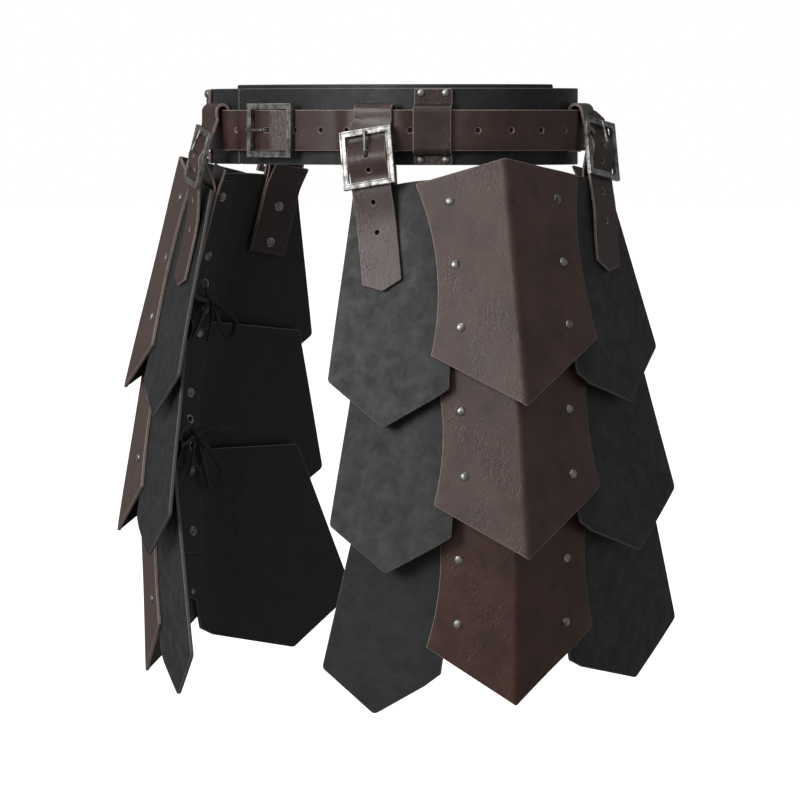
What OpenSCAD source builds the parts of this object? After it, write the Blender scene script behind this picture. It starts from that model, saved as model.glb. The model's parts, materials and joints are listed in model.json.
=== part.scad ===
/* [Waist ring] */
// half width across the hips, to the middle of the brown strap
ring_a = 175; // [140:1:220]
// half depth front to back, to the middle of the brown strap
ring_b = 119; // [95:1:160]
// height of the black base belt
base_h = 60; // [50:1:75]
// thickness of the black base belt
base_t = 3; // [2.4:0.1:3.6]
// height of the brown waist strap
belt_h = 32; // [26:1:34]
// thickness of the brown waist strap
belt_t = 3; // [2.4:0.1:3.4]
// middle of the brown strap above the middle of the base belt
belt_z = -3; // [-4:0.5:0]
// distance between the holes of the waist strap
hole_pitch = 25.6; // [24:0.1:28]
// radius of the strap holes
hole_r = 2; // [1.6:0.1:2.4]

/* [Hangers] */
// width of the hanger straps
strap_w = 32; // [28:1:34]
// thickness of the hanger straps
strap_t = 2.4; // [2:0.1:2.6]
// place of the front hangers round the ring, degrees from the front
front_at = 30.9; // [27:0.1:34]
// place of the rear hangers round the ring, degrees from the front
rear_at = 110; // [106:1:114]
// width of a buckle frame across its strap
buckle_w = 42.4; // [40:0.2:46]
// length of a hanger buckle frame along its strap
buckle_l = 46.4; // [42:0.2:50]
// length of the waist buckle frame along the belt
waist_buckle_l = 52; // [48:1:56]
// width of a buckle bar
bar_w = 4.6; // [3.6:0.1:5]
// thickness of a buckle frame
bar_t = 3.4; // [2.8:0.1:3.8]

/* [Lames] */
// thickness of the black and brown lame leather
plate_t = 2.8; // [2.4:0.1:3]
// distance from a ridge to where its wings turn a little more
brk = 74; // [70:1:78]
// slant height of the upper ridge plate from its tip to its peak
peak_h = 196; // [185:1:200]
// radius of the bend of the black leather behind a ridge
bend_r = 50; // [40:1:54]
// outward lean of the upper lame
lean_upper = 14.8; // [13:0.1:16]
// outward lean of the middle lame
lean_middle = 9.6; // [8.5:0.1:10]
// outward lean of the lower lame
lean_lower = -1.8; // [-3:0.1:-1.4]

/* [Fasteners] */
// radius of a rivet cap
cap_r = 3.7; // [3.2:0.1:4]
// height of a rivet cap
cap_h = 1.9; // [1.2:0.1:2]
// radius of a rivet shank
shank_r = 1.4; // [1.1:0.1:1.5]
// outer radius of the steel rings
ring_r = 4.1; // [3.7:0.1:4.6]
// thickness of the steel rings
ring_t = 0.8; // [0.6:0.1:1]
// width of a lace strip
lace_strip_w = 27; // [24:1:28]
// thickness of a lace strip
lace_strip_t = 2.2; // [1.8:0.1:2.4]
// radius of the round stand-in for a lace
lace_r = 1.6; // [1.2:0.1:1.8]

/* [Hidden] */
$fn = 48;

black = [0.13, 0.13, 0.14];
brown = [0.24, 0.15, 0.13];
steel = [0.62, 0.62, 0.62];
cord_black = [0.08, 0.08, 0.08];

// clearance between pieces that lie on one another
gap = 0.1;
// clearance between the two belts
belt_gap = 0.3;
// outer face of the base belt, counted outwards from the middle of the brown strap
base_out = -belt_t / 2 - belt_gap;
// how far the brown strap is pushed out where a hanger strap runs behind it
push = strap_t + 1.4;
// step from the first to the second layer of the brown strap
layer = belt_t + belt_gap;
// the waist buckle's middle, degrees from the front
waist_at = -2.6;
// arc lengths along the ring are followed in steps of this many mm
arc_step = 0.5;
belt_top = belt_z + belt_h / 2;
belt_bottom = belt_z - belt_h / 2;

// the waist buckle: bar centre and frame faces, counted outwards
wb_bar = 4;
wb_back = 5;
wrap_r = 3.3;
bar_r = 1.6;
prong_r = 1.25;

// the lames: tips of the three ridges of the left side, and their leans
lean_az = 65;
tips = [[233.1, -81, -213.5], [237.8, -83.9, -331.2], [214.4, -74.1, -445.8]];
leans = [lean_upper, lean_middle, lean_lower];
dir_front = 212;
dir_rear = 88;
bend_front = 5;
bend_rear = 14;
half_ridge = (dir_front - dir_rear) / 2;
bend_m = (plate_t + bend_r) / tan(half_ridge);
bend_c = (plate_t + bend_r) / sin(half_ridge);
// rivet columns, and the lace strips' nearer edges
col_front = 47;
col_rear = 52;
strip_front = 31;
strip_rear = 36;
// heights above a tip: lame tops, rivets, and the ends and bends of the lace strips
tops = [186, 177.7, 178.8];
rivet_hs = [[168, 118, 68], [168.8, 118.3, 67.8], [162, 112, 62]];
strip_in = -2 * plate_t - gap / 2 - lace_strip_t / 2;
eye_up = 95.5;
eye_low = 75;
strip_paths = [
  [[strip_in, 182], [strip_in, 106], [-17.6, 81], [-19.5, 59]],
  [[strip_in, 198], [strip_in, 106], [-17.2, 81], [-21.2, 59]],
  [[strip_in, 191.5], [strip_in, 94]]];
eyes = [[eye_up, eye_low], [190.6, eye_up + 1, eye_low + 1.3], [184.5]];

// the hanger straps: middle along the wing, buckle middle, offset of the frame's back
hang_m = [107, 111.5];
hang_h = [210, 216];
hang_off = [9.5, 3.5];
tail_tip = [105.5, 117.5];
tail_point = 7;
fold_h = [130.5, 128.5];
fold_rivets = [[170.6, 139.6], [168, 137.5]];
leg_end = [[-9.2, 206], [-13, 203.5]];
loop_end = [8.5, 16.4];
tail_in = -plate_t - gap - strap_t / 2;
fold_in = tail_in - strap_t - 0.3;

// directions and points of the ring, by degrees from the front towards the wearer's left
function ring_n(t) = let (v = [sin(t) / ring_a, -cos(t) / ring_b]) v / norm(v);
function ring_pt(t, o) = [ring_a * sin(t), -ring_b * cos(t)] + o * ring_n(t);
function ring_angle(t) = let (v = ring_n(t)) atan2(v[1], v[0]);
function ds(t) = norm([ring_a * cos(t), ring_b * sin(t)]) * PI / 180;
// degree that lies an arc length s beyond t
function arc_to(t, s) = s < arc_step ? t + s / ds(t) : arc_to(t + arc_step / ds(t), s - arc_step);
function arc_back(t, s) = s < arc_step ? t - s / ds(t) : arc_back(t - arc_step / ds(t), s - arc_step);
function arc_from(t, s) = s >= 0 ? arc_to(t, s) : arc_back(t, -s);
function ramp(x, a, b) = x <= a ? 0 : x >= b ? 1 : (1 - cos(180 * (x - a) / (b - a))) / 2;
function far_from(t, c) = abs((t - c + 540) % 360 - 180);
function bump(t, c) = 1 - ramp(far_from(t, c), 7, 12);
function bumps(t) = push * (bump(t, front_at) + bump(t, -front_at) + bump(t, rear_at) + bump(t, -rear_at));
function hill(t) = ramp(t, 350.5, 356.9) - ramp(t, 357.9, 364.3);
// middle line of the waist strap: one turn under, over the buckle's bar, and a second layer
function strap_mid(t) = bumps(t) + layer * ramp(t, 338, 347.5) + 5.7 * hill(t);

function dirv(p, q) = (q - p) / norm(q - p);
function left_of(v) = [-v[1], v[0]];
function seg(P, i) = dirv(P[max(0, min(i, len(P) - 2))], P[max(0, min(i, len(P) - 2)) + 1]);
function mitre(P, i) = let (a = left_of(seg(P, i - 1)), b = left_of(seg(P, i)), m = a + b) m / (m * a);
// outline of a strip of leather of thickness t along the path P
function ribbon(P, t) = concat([for (i = [0:len(P) - 1]) P[i] + t / 2 * mitre(P, i)],
  [for (i = [len(P) - 1:-1:0]) P[i] - t / 2 * mitre(P, i)]);
function arc_pts(c, r, a0, a1, n) = [for (i = [0:n]) c + r * [cos(a0 + (a1 - a0) * i / n), sin(a0 + (a1 - a0) * i / n)]];
// a curved side edge from p to q, hollowed by dip
function hollow(p, q, dip) = [for (i = [0:10]) let (s = i / 10) p + s * (q - p) - [4 * dip * s * (1 - s), 0]];
function path_at(P, h, i = 0) = h >= P[i + 1][1] || i == len(P) - 2
  ? P[i] + (P[i][1] - h) / (P[i][1] - P[i + 1][1]) * (P[i + 1] - P[i]) : path_at(P, h, i + 1);
function slope_at(P, h, i = 0) = h >= P[i + 1][1] || i == len(P) - 2
  ? atan2(P[i + 1][0] - P[i][0], P[i][1] - P[i + 1][1]) : slope_at(P, h, i + 1);

module band(ts, mid, t, z0, h) {
  translate([0, 0, z0])
    linear_extrude(h)
      polygon(concat([for (i = [0:len(ts) - 1]) ring_pt(ts[i], mid[i] - t / 2)],
        [for (i = [len(ts) - 1:-1:0]) ring_pt(ts[i], mid[i] + t / 2)]));
}

// x outwards, y round the ring
module at_ring(t) {
  translate([ring_a * sin(t), -ring_b * cos(t), 0])
    rotate([0, 0, ring_angle(t)])
      children();
}

// a strip whose profile P lies in x and z, centred on y
module ribbon_y(P, t, w) {
  rotate([90, 0, 0])
    linear_extrude(w, center = true)
      polygon(ribbon(P, t));
}

// a strip whose profile P lies in y and z, from x = m on
module ribbon_x(P, t, m, w) {
  translate([m, 0, 0])
    rotate([90, 0, 90])
      linear_extrude(w)
        polygon(ribbon(P, t));
}

module dome(r, h) {
  rotate_extrude()
    polygon([[0, 0], [r, 0], [r * 0.96, h * 0.42], [r * 0.72, h * 0.8], [r * 0.36, h * 0.97], [0, h]]);
}

module disc_ring(r_out, r_in, t) {
  difference() {
    cylinder(r = r_out, h = t);
    translate([0, 0, -1])
      cylinder(r = r_in, h = t + 2);
  }
}

module rod(p, q, r) {
  v = q - p;
  translate(p)
    rotate([0, atan2(norm([v[0], v[1]]), v[2]), atan2(v[1], v[0])])
      cylinder(r = r, h = norm(v));
}

// Belts

keepers = [[47.6, layer], [-50, 0], [150, 0], [-150, 0]];
keeper_w = 30;
keeper_t = 2.4;
keeper_rivet_z = 26.1;
keeper_cap_r = cap_r - 0.5;
keeper_rivet_y = 9.8;

module keeper_holes(r) {
  for (k = keepers)
    at_ring(k[0])
      for (y = [-keeper_rivet_y, keeper_rivet_y])
        for (z = [-keeper_rivet_z, keeper_rivet_z])
          translate([base_out - base_t - 4, y, z])
            rotate([0, 90, 0])
              cylinder(r = r, h = base_t + 12);
}

module base_belt() {
  color(black)
    difference() {
      band([for (t = [-19.6:2.4:339.2]) t], [for (t = [-19.6:2.4:339.2]) base_out - base_t / 2], base_t,
        -base_h / 2, base_h);
      keeper_holes(shank_r + gap);
    }
}

module base_belt_overlap() {
  color(black)
    difference() {
      band([for (t = [-24:2.4:96]) t], [for (t = [-24:2.4:96]) base_out - 1.5 * base_t - belt_gap], base_t,
        3 - base_h / 2, base_h);
      keeper_holes(cap_r + 0.6);
    }
}

module strap_slots() {
  for (i = [-3, -2, -1, 1, 2, 3, 4, 5, 6, 7, 8, 9, 10])
    at_ring(arc_from(waist_at, i * hole_pitch))
      translate([-6, 0, belt_z])
        rotate([0, 90, 0])
          cylinder(r = hole_r, h = 26);
  at_ring(waist_at)
    translate([6.8, -1.6, belt_z])
      rotate([0, 90, 0])
        linear_extrude(6)
          union() {
            square([3.2, 4.2], center = true);
            translate([0, 2.1])
              circle(r = 1.6);
            translate([0, -2.1])
              circle(r = 1.6);
          }
}

// the strap's outer end, degrees from the front; both layers bend at the same steps of three degrees
strap_end = 126;
strap_ts = concat([for (t = [3:3:336]) t], [for (t = [337:1:371]) t], [for (t = [372:3:360 + strap_end]) t]);

module waist_strap() {
  color(brown)
    difference() {
      union() {
        difference() {
          band(strap_ts, [for (t = strap_ts) strap_mid(t)], belt_t, belt_bottom, belt_h);
          strap_point_cuts();
        }
        at_ring(waist_at)
          translate([wb_bar, 0, belt_bottom + 1])
            difference() {
              union() {
                cylinder(r = wrap_r, h = belt_h - 2);
                linear_extrude(belt_h - 2)
                  polygon([[-2.9, -0.8], [-2, -0.8], [-3.4, 18.5], [-5.5, 18.5]]);
              }
              translate([0, 0, -1])
                cylinder(r = bar_r + gap, h = belt_h);
              translate([-9, -4, belt_h / 2 - 4])
                cube([14, 8.2, 6]);
            }
      }
      strap_slots();
    }
}

// what is cut off the outer layer's end to leave a point; the turn beneath stays whole
module strap_point_cuts() {
  ts = [for (t = [468:3:492]) t];
  intersection() {
    band(ts, [for (t = ts) layer / 2 + 4], 8, -100, 200);
    at_ring(strap_end)
      for (s = [-1, 1])
        translate([0, 2, belt_z + s * (belt_h / 2 + 1)])
          rotate([45, 0, 0])
            cube([30, 20, 20], center = true);
  }
}

module keeper_path(extra) {
  lo = base_out + keeper_t / 2 + gap / 2;
  hi = belt_t / 2 + extra + keeper_t / 2 + 0.4;
  ribbon_y([[lo, -29.5], [lo, -21.8], [hi, -19.6], [hi, belt_top + 0.6], [lo, 17.6], [lo, 29.5]],
    keeper_t, keeper_w);
}

module belt_keepers() {
  color(brown)
    difference() {
      for (k = keepers)
        at_ring(k[0])
          keeper_path(k[1]);
      keeper_holes(shank_r + gap);
    }
}

module keeper_rivets() {
  color(steel)
    for (k = keepers)
      at_ring(k[0])
        for (y = [-keeper_rivet_y, keeper_rivet_y])
          for (z = [-keeper_rivet_z, keeper_rivet_z])
            translate([base_out + keeper_t + gap, y, z])
              rotate([0, 90, 0]) {
                dome(keeper_cap_r, cap_h);
                translate([0, 0, -base_t - keeper_t - 1.8])
                  cylinder(r = shank_r, h = base_t + keeper_t + 1.9);
                translate([0, 0, -base_t - keeper_t - 2.4])
                  cylinder(r = cap_r - 0.6, h = 0.9);
              }
}

// a square frame lying in x and y with a channel in its front face, z outwards
module frame_plate(len_x, len_y) {
  difference() {
    translate([-len_x / 2, -len_y / 2, 0])
      cube([len_x, len_y, bar_t]);
    translate([-len_x / 2 + bar_w, -len_y / 2 + bar_w, -1])
      cube([len_x - 2 * bar_w, len_y - 2 * bar_w, bar_t + 2]);
    translate([0, 0, bar_t - 0.5])
      difference() {
        translate([-len_x / 2 + 1.1, -len_y / 2 + 1.1, 0])
          cube([len_x - 2.2, len_y - 2.2, 1]);
        translate([-len_x / 2 + bar_w - 1.1, -len_y / 2 + bar_w - 1.1, -1])
          cube([len_x - 2 * bar_w + 2.2, len_y - 2 * bar_w + 2.2, 3]);
      }
  }
}

module waist_buckle_frame() {
  color(steel)
    at_ring(waist_at)
      translate([0, 0, belt_z])
        union() {
          translate([wb_back, 0, 0])
            rotate([0, 90, 0])
              frame_plate(buckle_w, waist_buckle_l);
          translate([wb_bar, 0, -buckle_w / 2 + 1])
            cylinder(r = bar_r, h = buckle_w - 2);
        }
}

module prong(c, knee, tip, w) {
  translate([-w / 2, c[0], c[1]])
    rotate([0, 90, 0])
      disc_ring(wrap_r - 0.1, bar_r + gap, w);
  rod([0, c[0] + 2.5, c[1] + 0.6], [0, knee[0], knee[1]], prong_r);
  translate([0, knee[0], knee[1]])
    sphere(r = prong_r + 0.15);
  rod([0, knee[0], knee[1]], [0, tip[0], tip[1]], prong_r);
}

// turned so that the prong's bar stands upright and its tip lies towards the wearer's right
module waist_prong() {
  color(steel)
    at_ring(waist_at)
      translate([0, 0, belt_z])
        multmatrix([[0, 1, 0, 0], [0, 0, -1, 0], [-1, 0, 0, 0], [0, 0, 0, 1]])
          prong([wb_bar, 0], [11.9, 4.8], [wb_back + bar_t + prong_r + 0.1, 25], 4.6);
}

// Hanger loops over the belt's top edge, in the frame of their place on the ring; each ends above
// its buckle's frame, also when the lame swings out

module strap_loop(t, low) {
  out = belt_t / 2 + layer + push + gap;
  in = base_out + 0.2 + strap_t / 2;
  mid = (out + strap_t / 2 + in) / 2;
  r = out + strap_t / 2 - mid;
  top = belt_top - 1;
  turn = low > top ? asin((low - top) / r) : 0;
  at_ring(t)
    ribbon_y(concat([[in, belt_bottom - 1]], arc_pts([mid, top], r, 180, turn, 12),
      low < top ? [[out + strap_t / 2, low]] : []), strap_t, strap_w);
}

module strap_loops() {
  color(brown) {
    strap_loop(front_at, loop_end[0]);
    strap_loop(rear_at, loop_end[1]);
    mirror([1, 0, 0]) {
      strap_loop(front_at, loop_end[0]);
      strap_loop(rear_at, loop_end[1]);
    }
  }
}

// Lames. In a wing, x runs from the ridge, y outwards and z up the slant; zero is the ridge's tip.

module lame(i) {
  translate(tips[i])
    rotate(a = -leans[i], v = [cos(lean_az), sin(lean_az), 0])
      children();
}

module wing(rear) {
  if (rear)
    rotate([0, 0, dir_rear])
      mirror([0, 1, 0])
        children();
  else
    rotate([0, 0, dir_front])
      children();
}

module outer(rear) {
  translate([brk, 0, 0])
    rotate([0, 0, rear ? -bend_rear : -bend_front])
      translate([-brk, 0, 0])
        children();
}

module plate(out, t, pts) {
  translate([0, out, 0])
    rotate([90, 0, 0])
      linear_extrude(t)
        polygon(pts);
}

module pin(m, h, out, in, r) {
  translate([m, out, h])
    rotate([90, 0, 0])
      cylinder(r = r, h = out - in);
}

module column_holes(i, rear, r, list) {
  m = rear ? col_rear : col_front;
  for (h = list)
    pin(m, h, 4, -2 * plate_t - lace_strip_t - 2, r);
}

module hanger_holes(k, r) {
  for (h = fold_rivets[k])
    pin(hang_m[k], h, 4, -14, r);
}

// outer wing outlines: top, side, low corner and underside, front and rear, for each lame
front_out = [
  [[brk, 20], [brk, 188.5], [124.6, 188.4], [158.8, 42.2], [117.3, -1], [brk, 15.6]],
  [[brk, 20], [brk, 177.7], [127, 177.7], [159.4, 39.3], [115.7, -1.8], [brk, 15.6]],
  [[brk, 20], [brk, 178.8], [122, 178.8], [158, 22.6], [114.8, -11.7], [brk, 12.2]]];
rear_out = [
  [[brk, 30], [brk, 190], [123.6, 194], [175.5, 66], [129.5, 16], [brk, 23.5]],
  [[brk, 30], [brk, 177.7], [153, 177.7], [197, 64.5], [140, 12], [brk, 24]],
  [[brk, 30], [brk, 178.8], [161, 178.8], [211, 52], [152, 9.5], [brk, 25]]];
front_in_low = [15.6, 15.6, 12.2];
rear_in_low = [23.5, 24, 25];
ridge_low = 68;
// from the outer wings' lower edges up behind the ridge plates, clear of the rivets of the lame below
front_step = [[61, 22], [57, 52]];
rear_step = [[60, 31], [55, 55]];

// plan of the front panel's outer face: front wing, bend behind the ridge, and rear stub
function wing_dir(rear) = let (a = rear ? dir_rear : dir_front) [cos(a), sin(a)];
function wing_out(rear) = let (v = wing_dir(rear)) rear ? [v[1], -v[0]] : [-v[1], v[0]];
function wing_pt(rear, m, y) = m * wing_dir(rear) + y * wing_out(rear);
front_corner = wing_pt(false, brk - plate_t * tan(bend_front / 2), -plate_t);
front_far = front_corner + 100 * [cos(dir_front - bend_front), sin(dir_front - bend_front)];
panel_plan = concat([front_far, front_corner],
  arc_pts(bend_c * [cos(150), sin(150)], bend_r, dir_front + 90, dir_rear + 270, 10),
  [wing_pt(true, strip_rear - 1, -plate_t)]);
panel_inner = [for (i = [0:len(panel_plan) - 1]) panel_plan[i] + plate_t * mitre(panel_plan, i)];

module front_panel(i) {
  top = tops[i];
  color(black)
    lame(i)
      difference() {
        intersection() {
          translate([0, 0, -30])
            linear_extrude(250)
              polygon(concat(panel_plan, [for (k = [len(panel_inner) - 1:-1:0]) panel_inner[k]]));
          union() {
            wing(false) {
              outer(false)
                plate(4, 20, front_out[i]);
              plate(4, 45, [[-20, ridge_low], [-20, top], [bend_m, top], [brk, front_out[i][1][1]],
                [brk, front_in_low[i]], front_step[0], front_step[1], [bend_m, ridge_low]]);
            }
            wing(true)
              plate(4, 45, [[0, ridge_low], [0, top], [strip_rear, top], [strip_rear, ridge_low - 6],
                [bend_m, ridge_low]]);
          }
        }
        wing(false) {
          column_holes(i, false, shank_r + gap, rivet_hs[i]);
          if (i == 0)
            outer(false)
              translate([0, -plate_t, 0])
                hanger_holes(0, shank_r + gap);
        }
      }
}

module rear_panel(i) {
  color(black)
    lame(i)
      wing(true)
        difference() {
          union() {
            outer(true)
              plate(-plate_t, plate_t, rear_out[i]);
            plate(-plate_t, plate_t, [[strip_rear, ridge_low - 6], [strip_rear, tops[i]],
              [brk, rear_out[i][1][1]], [brk, rear_in_low[i]], rear_step[0], rear_step[1]]);
          }
          column_holes(i, true, shank_r + gap, rivet_hs[i]);
          if (i == 0)
            outer(true)
              translate([0, -plate_t, 0])
                hanger_holes(1, shank_r + gap);
        }
}

plate_front_low = [[72.5, 49], [73, 47.5], [72, 43]];
plate_rear_low = [[84, 61], [83, 59.5], [83, 57]];

module ridge_plate(i) {
  peak = i == 0 ? peak_h : tops[i] - 1;
  front_top = [73, i == 0 ? 185.5 : tops[i] - 1];
  rear_top = [i == 0 ? 78.5 : 80, i == 0 ? 190 : tops[i] - 1];
  color(brown)
    lame(i)
      difference() {
        union() {
          wing(false)
            plate(0, plate_t - gap / 2, concat([[0, 0], [0, peak]], hollow(front_top, plate_front_low[i], 11)));
          wing(true)
            plate(0, plate_t - gap / 2, concat([[0, 0], [0, peak]], hollow(rear_top, plate_rear_low[i], 10)));
        }
        wing(false)
          column_holes(i, false, shank_r + gap, rivet_hs[i]);
        wing(true)
          column_holes(i, true, shank_r + gap, rivet_hs[i]);
      }
}

module lace_strip(i, rear) {
  P = strip_paths[i];
  m = rear ? strip_rear : strip_front;
  c = rear ? col_rear : col_front;
  difference() {
    ribbon_x(P, lace_strip_t, m, lace_strip_w);
    column_holes(i, rear, shank_r + gap, [rivet_hs[i][0], rivet_hs[i][1]]);
    for (h = eyes[i])
      at_eye(P, h, c)
        translate([0, 0, -4])
          cylinder(r = 2.6 + gap / 2, h = 8);
  }
}

module at_eye(P, h, c) {
  p = path_at(P, h);
  translate([c, p[0], p[1]])
    rotate([90 + slope_at(P, h), 0, 0])
      children();
}

module lace_strips(i) {
  color(black)
    lame(i) {
      wing(false)
        lace_strip(i, false);
      wing(true)
        lace_strip(i, true);
    }
}

module eyelet() {
  translate([0, 0, -lace_strip_t / 2])
    disc_ring(2.6, 2.1, lace_strip_t);
  translate([0, 0, lace_strip_t / 2])
    disc_ring(ring_r, 2.1, ring_t);
  translate([0, 0, -lace_strip_t / 2 - ring_t])
    disc_ring(ring_r, 2.1, ring_t);
}

module rings(i) {
  face = strip_in - lace_strip_t / 2;
  color(steel)
    lame(i)
      for (rear = [false, true])
        wing(rear) {
          c = rear ? col_rear : col_front;
          for (h = [rivet_hs[i][0], rivet_hs[i][1]])
            translate([c, face, h])
              rotate([90, 0, 0])
                disc_ring(ring_r, 2.2, ring_t);
          for (h = eyes[i])
            at_eye(strip_paths[i], h, c)
              eyelet();
        }
}

module rivet(m, h, out, in, tail_r, cap = cap_h) {
  translate([m, out, h])
    rotate([-90, 0, 0])
      dome(cap_r, cap);
  pin(m, h, out + 0.1, in, shank_r);
  pin(m, h, in, in - 0.6, tail_r);
}

module rivets(i) {
  face = strip_in - lace_strip_t / 2;
  color(steel) {
    lame(i)
      for (rear = [false, true])
        wing(rear) {
          c = rear ? col_rear : col_front;
          rivet(c, rivet_hs[i][0], 0, face, 2, i == 0 ? cap_h : hidden_cap);
          rivet(c, rivet_hs[i][1], 0, face, 2);
          rivet(c, rivet_hs[i][2], 0, -2 * plate_t, 3);
        }
    if (i == 0)
      lame(0)
        for (k = [0, 1])
          wing(k == 1)
            outer(k == 1)
              translate([0, -plate_t, 0])
                for (h = fold_rivets[k])
                  flat_rivet(hang_m[k], h);
  }
}

// heights of the caps that the lame above covers, and of those that the hangers' tails hang over
hidden_cap = 1.4;
low_cap = 0.45;

// a rivet of a hanger's folded strap: low cap under the tail, ringed end inside
module flat_rivet(m, h) {
  translate([m, 0, h])
    rotate([-90, 0, 0])
      dome(cap_r - 0.4, low_cap);
  pin(m, h, 0.1, fold_in - strap_t / 2, shank_r);
  pin(m, h, fold_in - strap_t / 2, fold_in - strap_t / 2 - 0.9, cap_r);
}

// Hangers, in the upper lame's outer wings; y is counted from the black leather's outer face

module hanger(k) {
  lame(0)
    wing(k == 1)
      outer(k == 1)
        translate([0, -plate_t, 0])
          children();
}

module strap_tail(k) {
  off = hang_off[k];
  b = hang_h[k];
  lo = off - 1.4;
  hi = off + 4.2;
  end = 0.5 + strap_t / 2 + 0.1;
  tip = tail_tip[k];
  m = hang_m[k];
  P = [[lo, b + 18.9], [lo + 0.6, b + 14], [hi - 1.2, b + 5], [hi, b + 1.5], [hi, b - 1.5], [hi - 1.2, b - 5],
    [lo + 0.6, b - 14], [lo, b - 19], [lo, b - 24], [end, tip]];
  hanger(k)
    difference() {
      ribbon_x(P, strap_t, m - strap_w / 2, strap_w);
      for (d = [-9.4, -34.4, -58])
        pin(m, b + d, 20, -1, hole_r);
      pin(m, b + 5, 20, off + 1, 1.6);
      pin(m, b - 0.5, 20, off + 1, 1.6);
      translate([m - 1.6, off + 1, b - 0.5])
        cube([3.2, 16, 5.5]);
      for (s = [-1, 1])
        translate([m + s * strap_w / 2, -2, tip])
          mirror([s < 0 ? 1 : 0, 0, 0])
            rotate([90, 0, 0])
              linear_extrude(30, center = true)
                polygon([[1, tail_point], [0, tail_point], [-strap_w / 2, 0], [-strap_w / 2, -2], [1, -2]]);
    }
}

module strap_fold(k) {
  off = hang_off[k];
  b = hang_h[k];
  c = off - 0.5;
  m = hang_m[k];
  f = fold_h[k];
  r = (tail_in - fold_in) / 2;
  knee = tops[0] + (k == 0 ? 5 : 10);
  P = concat([[c - 2.4, b], [c - 2.4, b - 3], [tail_in, knee]],
    arc_pts([tail_in - r, f], r, 0, -180, 8), [[fold_in, 186], leg_end[k]]);
  hanger(k)
    difference() {
      union() {
        ribbon_x(P, strap_t, m - strap_w / 2, strap_w);
        translate([m - strap_w / 2, c, b])
          rotate([0, 90, 0])
            cylinder(r = wrap_r, h = strap_w);
      }
      translate([m - strap_w / 2 - 1, c, b])
        rotate([0, 90, 0])
          cylinder(r = bar_r + gap, h = strap_w + 2);
      translate([m - 2.9, c - 5, b - 4.2])
        cube([5.8, 12, 8.6]);
      hanger_holes(k, shank_r + gap);
    }
}

module buckle_frame(k) {
  hanger(k) {
    translate([hang_m[k], hang_off[k], hang_h[k]])
      rotate([-90, 0, 0])
        frame_plate(buckle_w, buckle_l);
    translate([hang_m[k] - buckle_w / 2 + 1, hang_off[k] - 0.5, hang_h[k]])
      rotate([0, 90, 0])
        cylinder(r = bar_r, h = buckle_w - 2);
  }
}

module hanger_prong(k) {
  off = hang_off[k];
  b = hang_h[k];
  hanger(k)
    translate([hang_m[k], 0, 0])
      prong([off - 0.5, b], [off + 7.4, b + 4.8], [off + bar_t + prong_r + 0.1, b + buckle_l / 2 - 1.5], 4.6);
}

// Laces: round stand-ins, a knot with two loops and two ends at each pair of rings

// ring of points round p, with the direction v along the cord
function cord_ring(p, v, r, n) = let (w = v / norm(v), a = cross([0, 1, 0], w), u = a / norm(a), q = cross(w, u))
  [for (k = [0:n - 1]) p + r * (cos(360 * k / n) * u + sin(360 * k / n) * q)];
function along(P, i) = P[min(i + 1, len(P) - 1)] - P[max(i - 1, 0)];

module cord(P, r, n) {
  pts = [for (i = [0:len(P) - 1]) each cord_ring(P[i], along(P, i), r, n)];
  last = len(P) - 1;
  polyhedron(points = pts, faces = concat([[for (k = [0:n - 1]) k]],
    [for (i = [0:last - 1]) for (k = [0:n - 1]) each [
      [i * n + k, (i + 1) * n + k, (i + 1) * n + (k + 1) % n],
      [i * n + k, (i + 1) * n + (k + 1) % n, i * n + (k + 1) % n]]],
    [[for (k = [n - 1:-1:0]) last * n + k]]));
}

// loops and ends of the bows as points from the knot, rear and front, upper and lower:
// towards the ridge is negative x, inwards is negative y
loop_pts = [
  [[[-3, -2, 1.5], [-15, -7, 14], [-27, -10, 12], [-24, -10, 2], [-3, -4.6, -1.9]],
   [[3, -2, 1.5], [14, -6, -18], [27, -9, -30], [26, -11, -15], [3, -4.6, -1.9]]],
  [[[-3, -2, 1.5], [-13, -7, 8], [-24, -10, 1], [-22, -10, -9], [-3, -4.6, -1.9]],
   [[3, -2, 1.5], [12, -6, -24], [22, -9, -44], [28, -11, -28], [3, -4.6, -1.9]]],
  [[[-3, -2, 1.5], [-9, -6, -16], [-15, -9, -30], [-7, -10, -32], [-3, -4.6, -1.9]],
   [[3, -2, 1.5], [12, -6, -16], [20, -9, -27], [24, -10, -15], [3, -4.6, -1.9]]],
  [[[-3, -2, 1.5], [-8, -6, -12], [-15, -9, -18], [-16, -10, -5], [-3, -4.6, -1.9]],
   [[3, -2, 1.5], [12, -6, -10], [21, -9, -13], [22, -10, 0], [3, -4.6, -1.9]]]];
end_pts = [[[-12, -8, -26], [3, -8, -34]], [[-6, -8, -34], [30, -10, 6]],
  [[-20, -8, -8], [4, -8, -37]], [[-4, -8, -36], [7, -9, -30]]];

module bow(i, rear) {
  c = rear ? col_rear : col_front;
  h = (eye_up + eye_low) / 2 + (i == 1 ? 1 : 0);
  p = path_at(strip_paths[i], h);
  k = (rear ? 0 : 2) + i;
  lame(i)
    wing(rear)
      translate([c, p[0] - lace_strip_t / 2 - ring_t - 1.4, p[1]]) {
        translate([-5.5, -7, -5])
          cube([11, 7, 10]);
        cord(loop_pts[k][0], lace_r, 8);
        cord(loop_pts[k][1], lace_r, 8);
        cord([[-2.5, -3.5, -2], end_pts[k][0]], lace_r, 8);
        cord([[2.5, -3.5, -2], end_pts[k][1]], lace_r, 8);
      }
}

module laces(i) {
  color(cord_black) {
    bow(i, false);
    bow(i, true);
  }
}

// Sides

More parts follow.
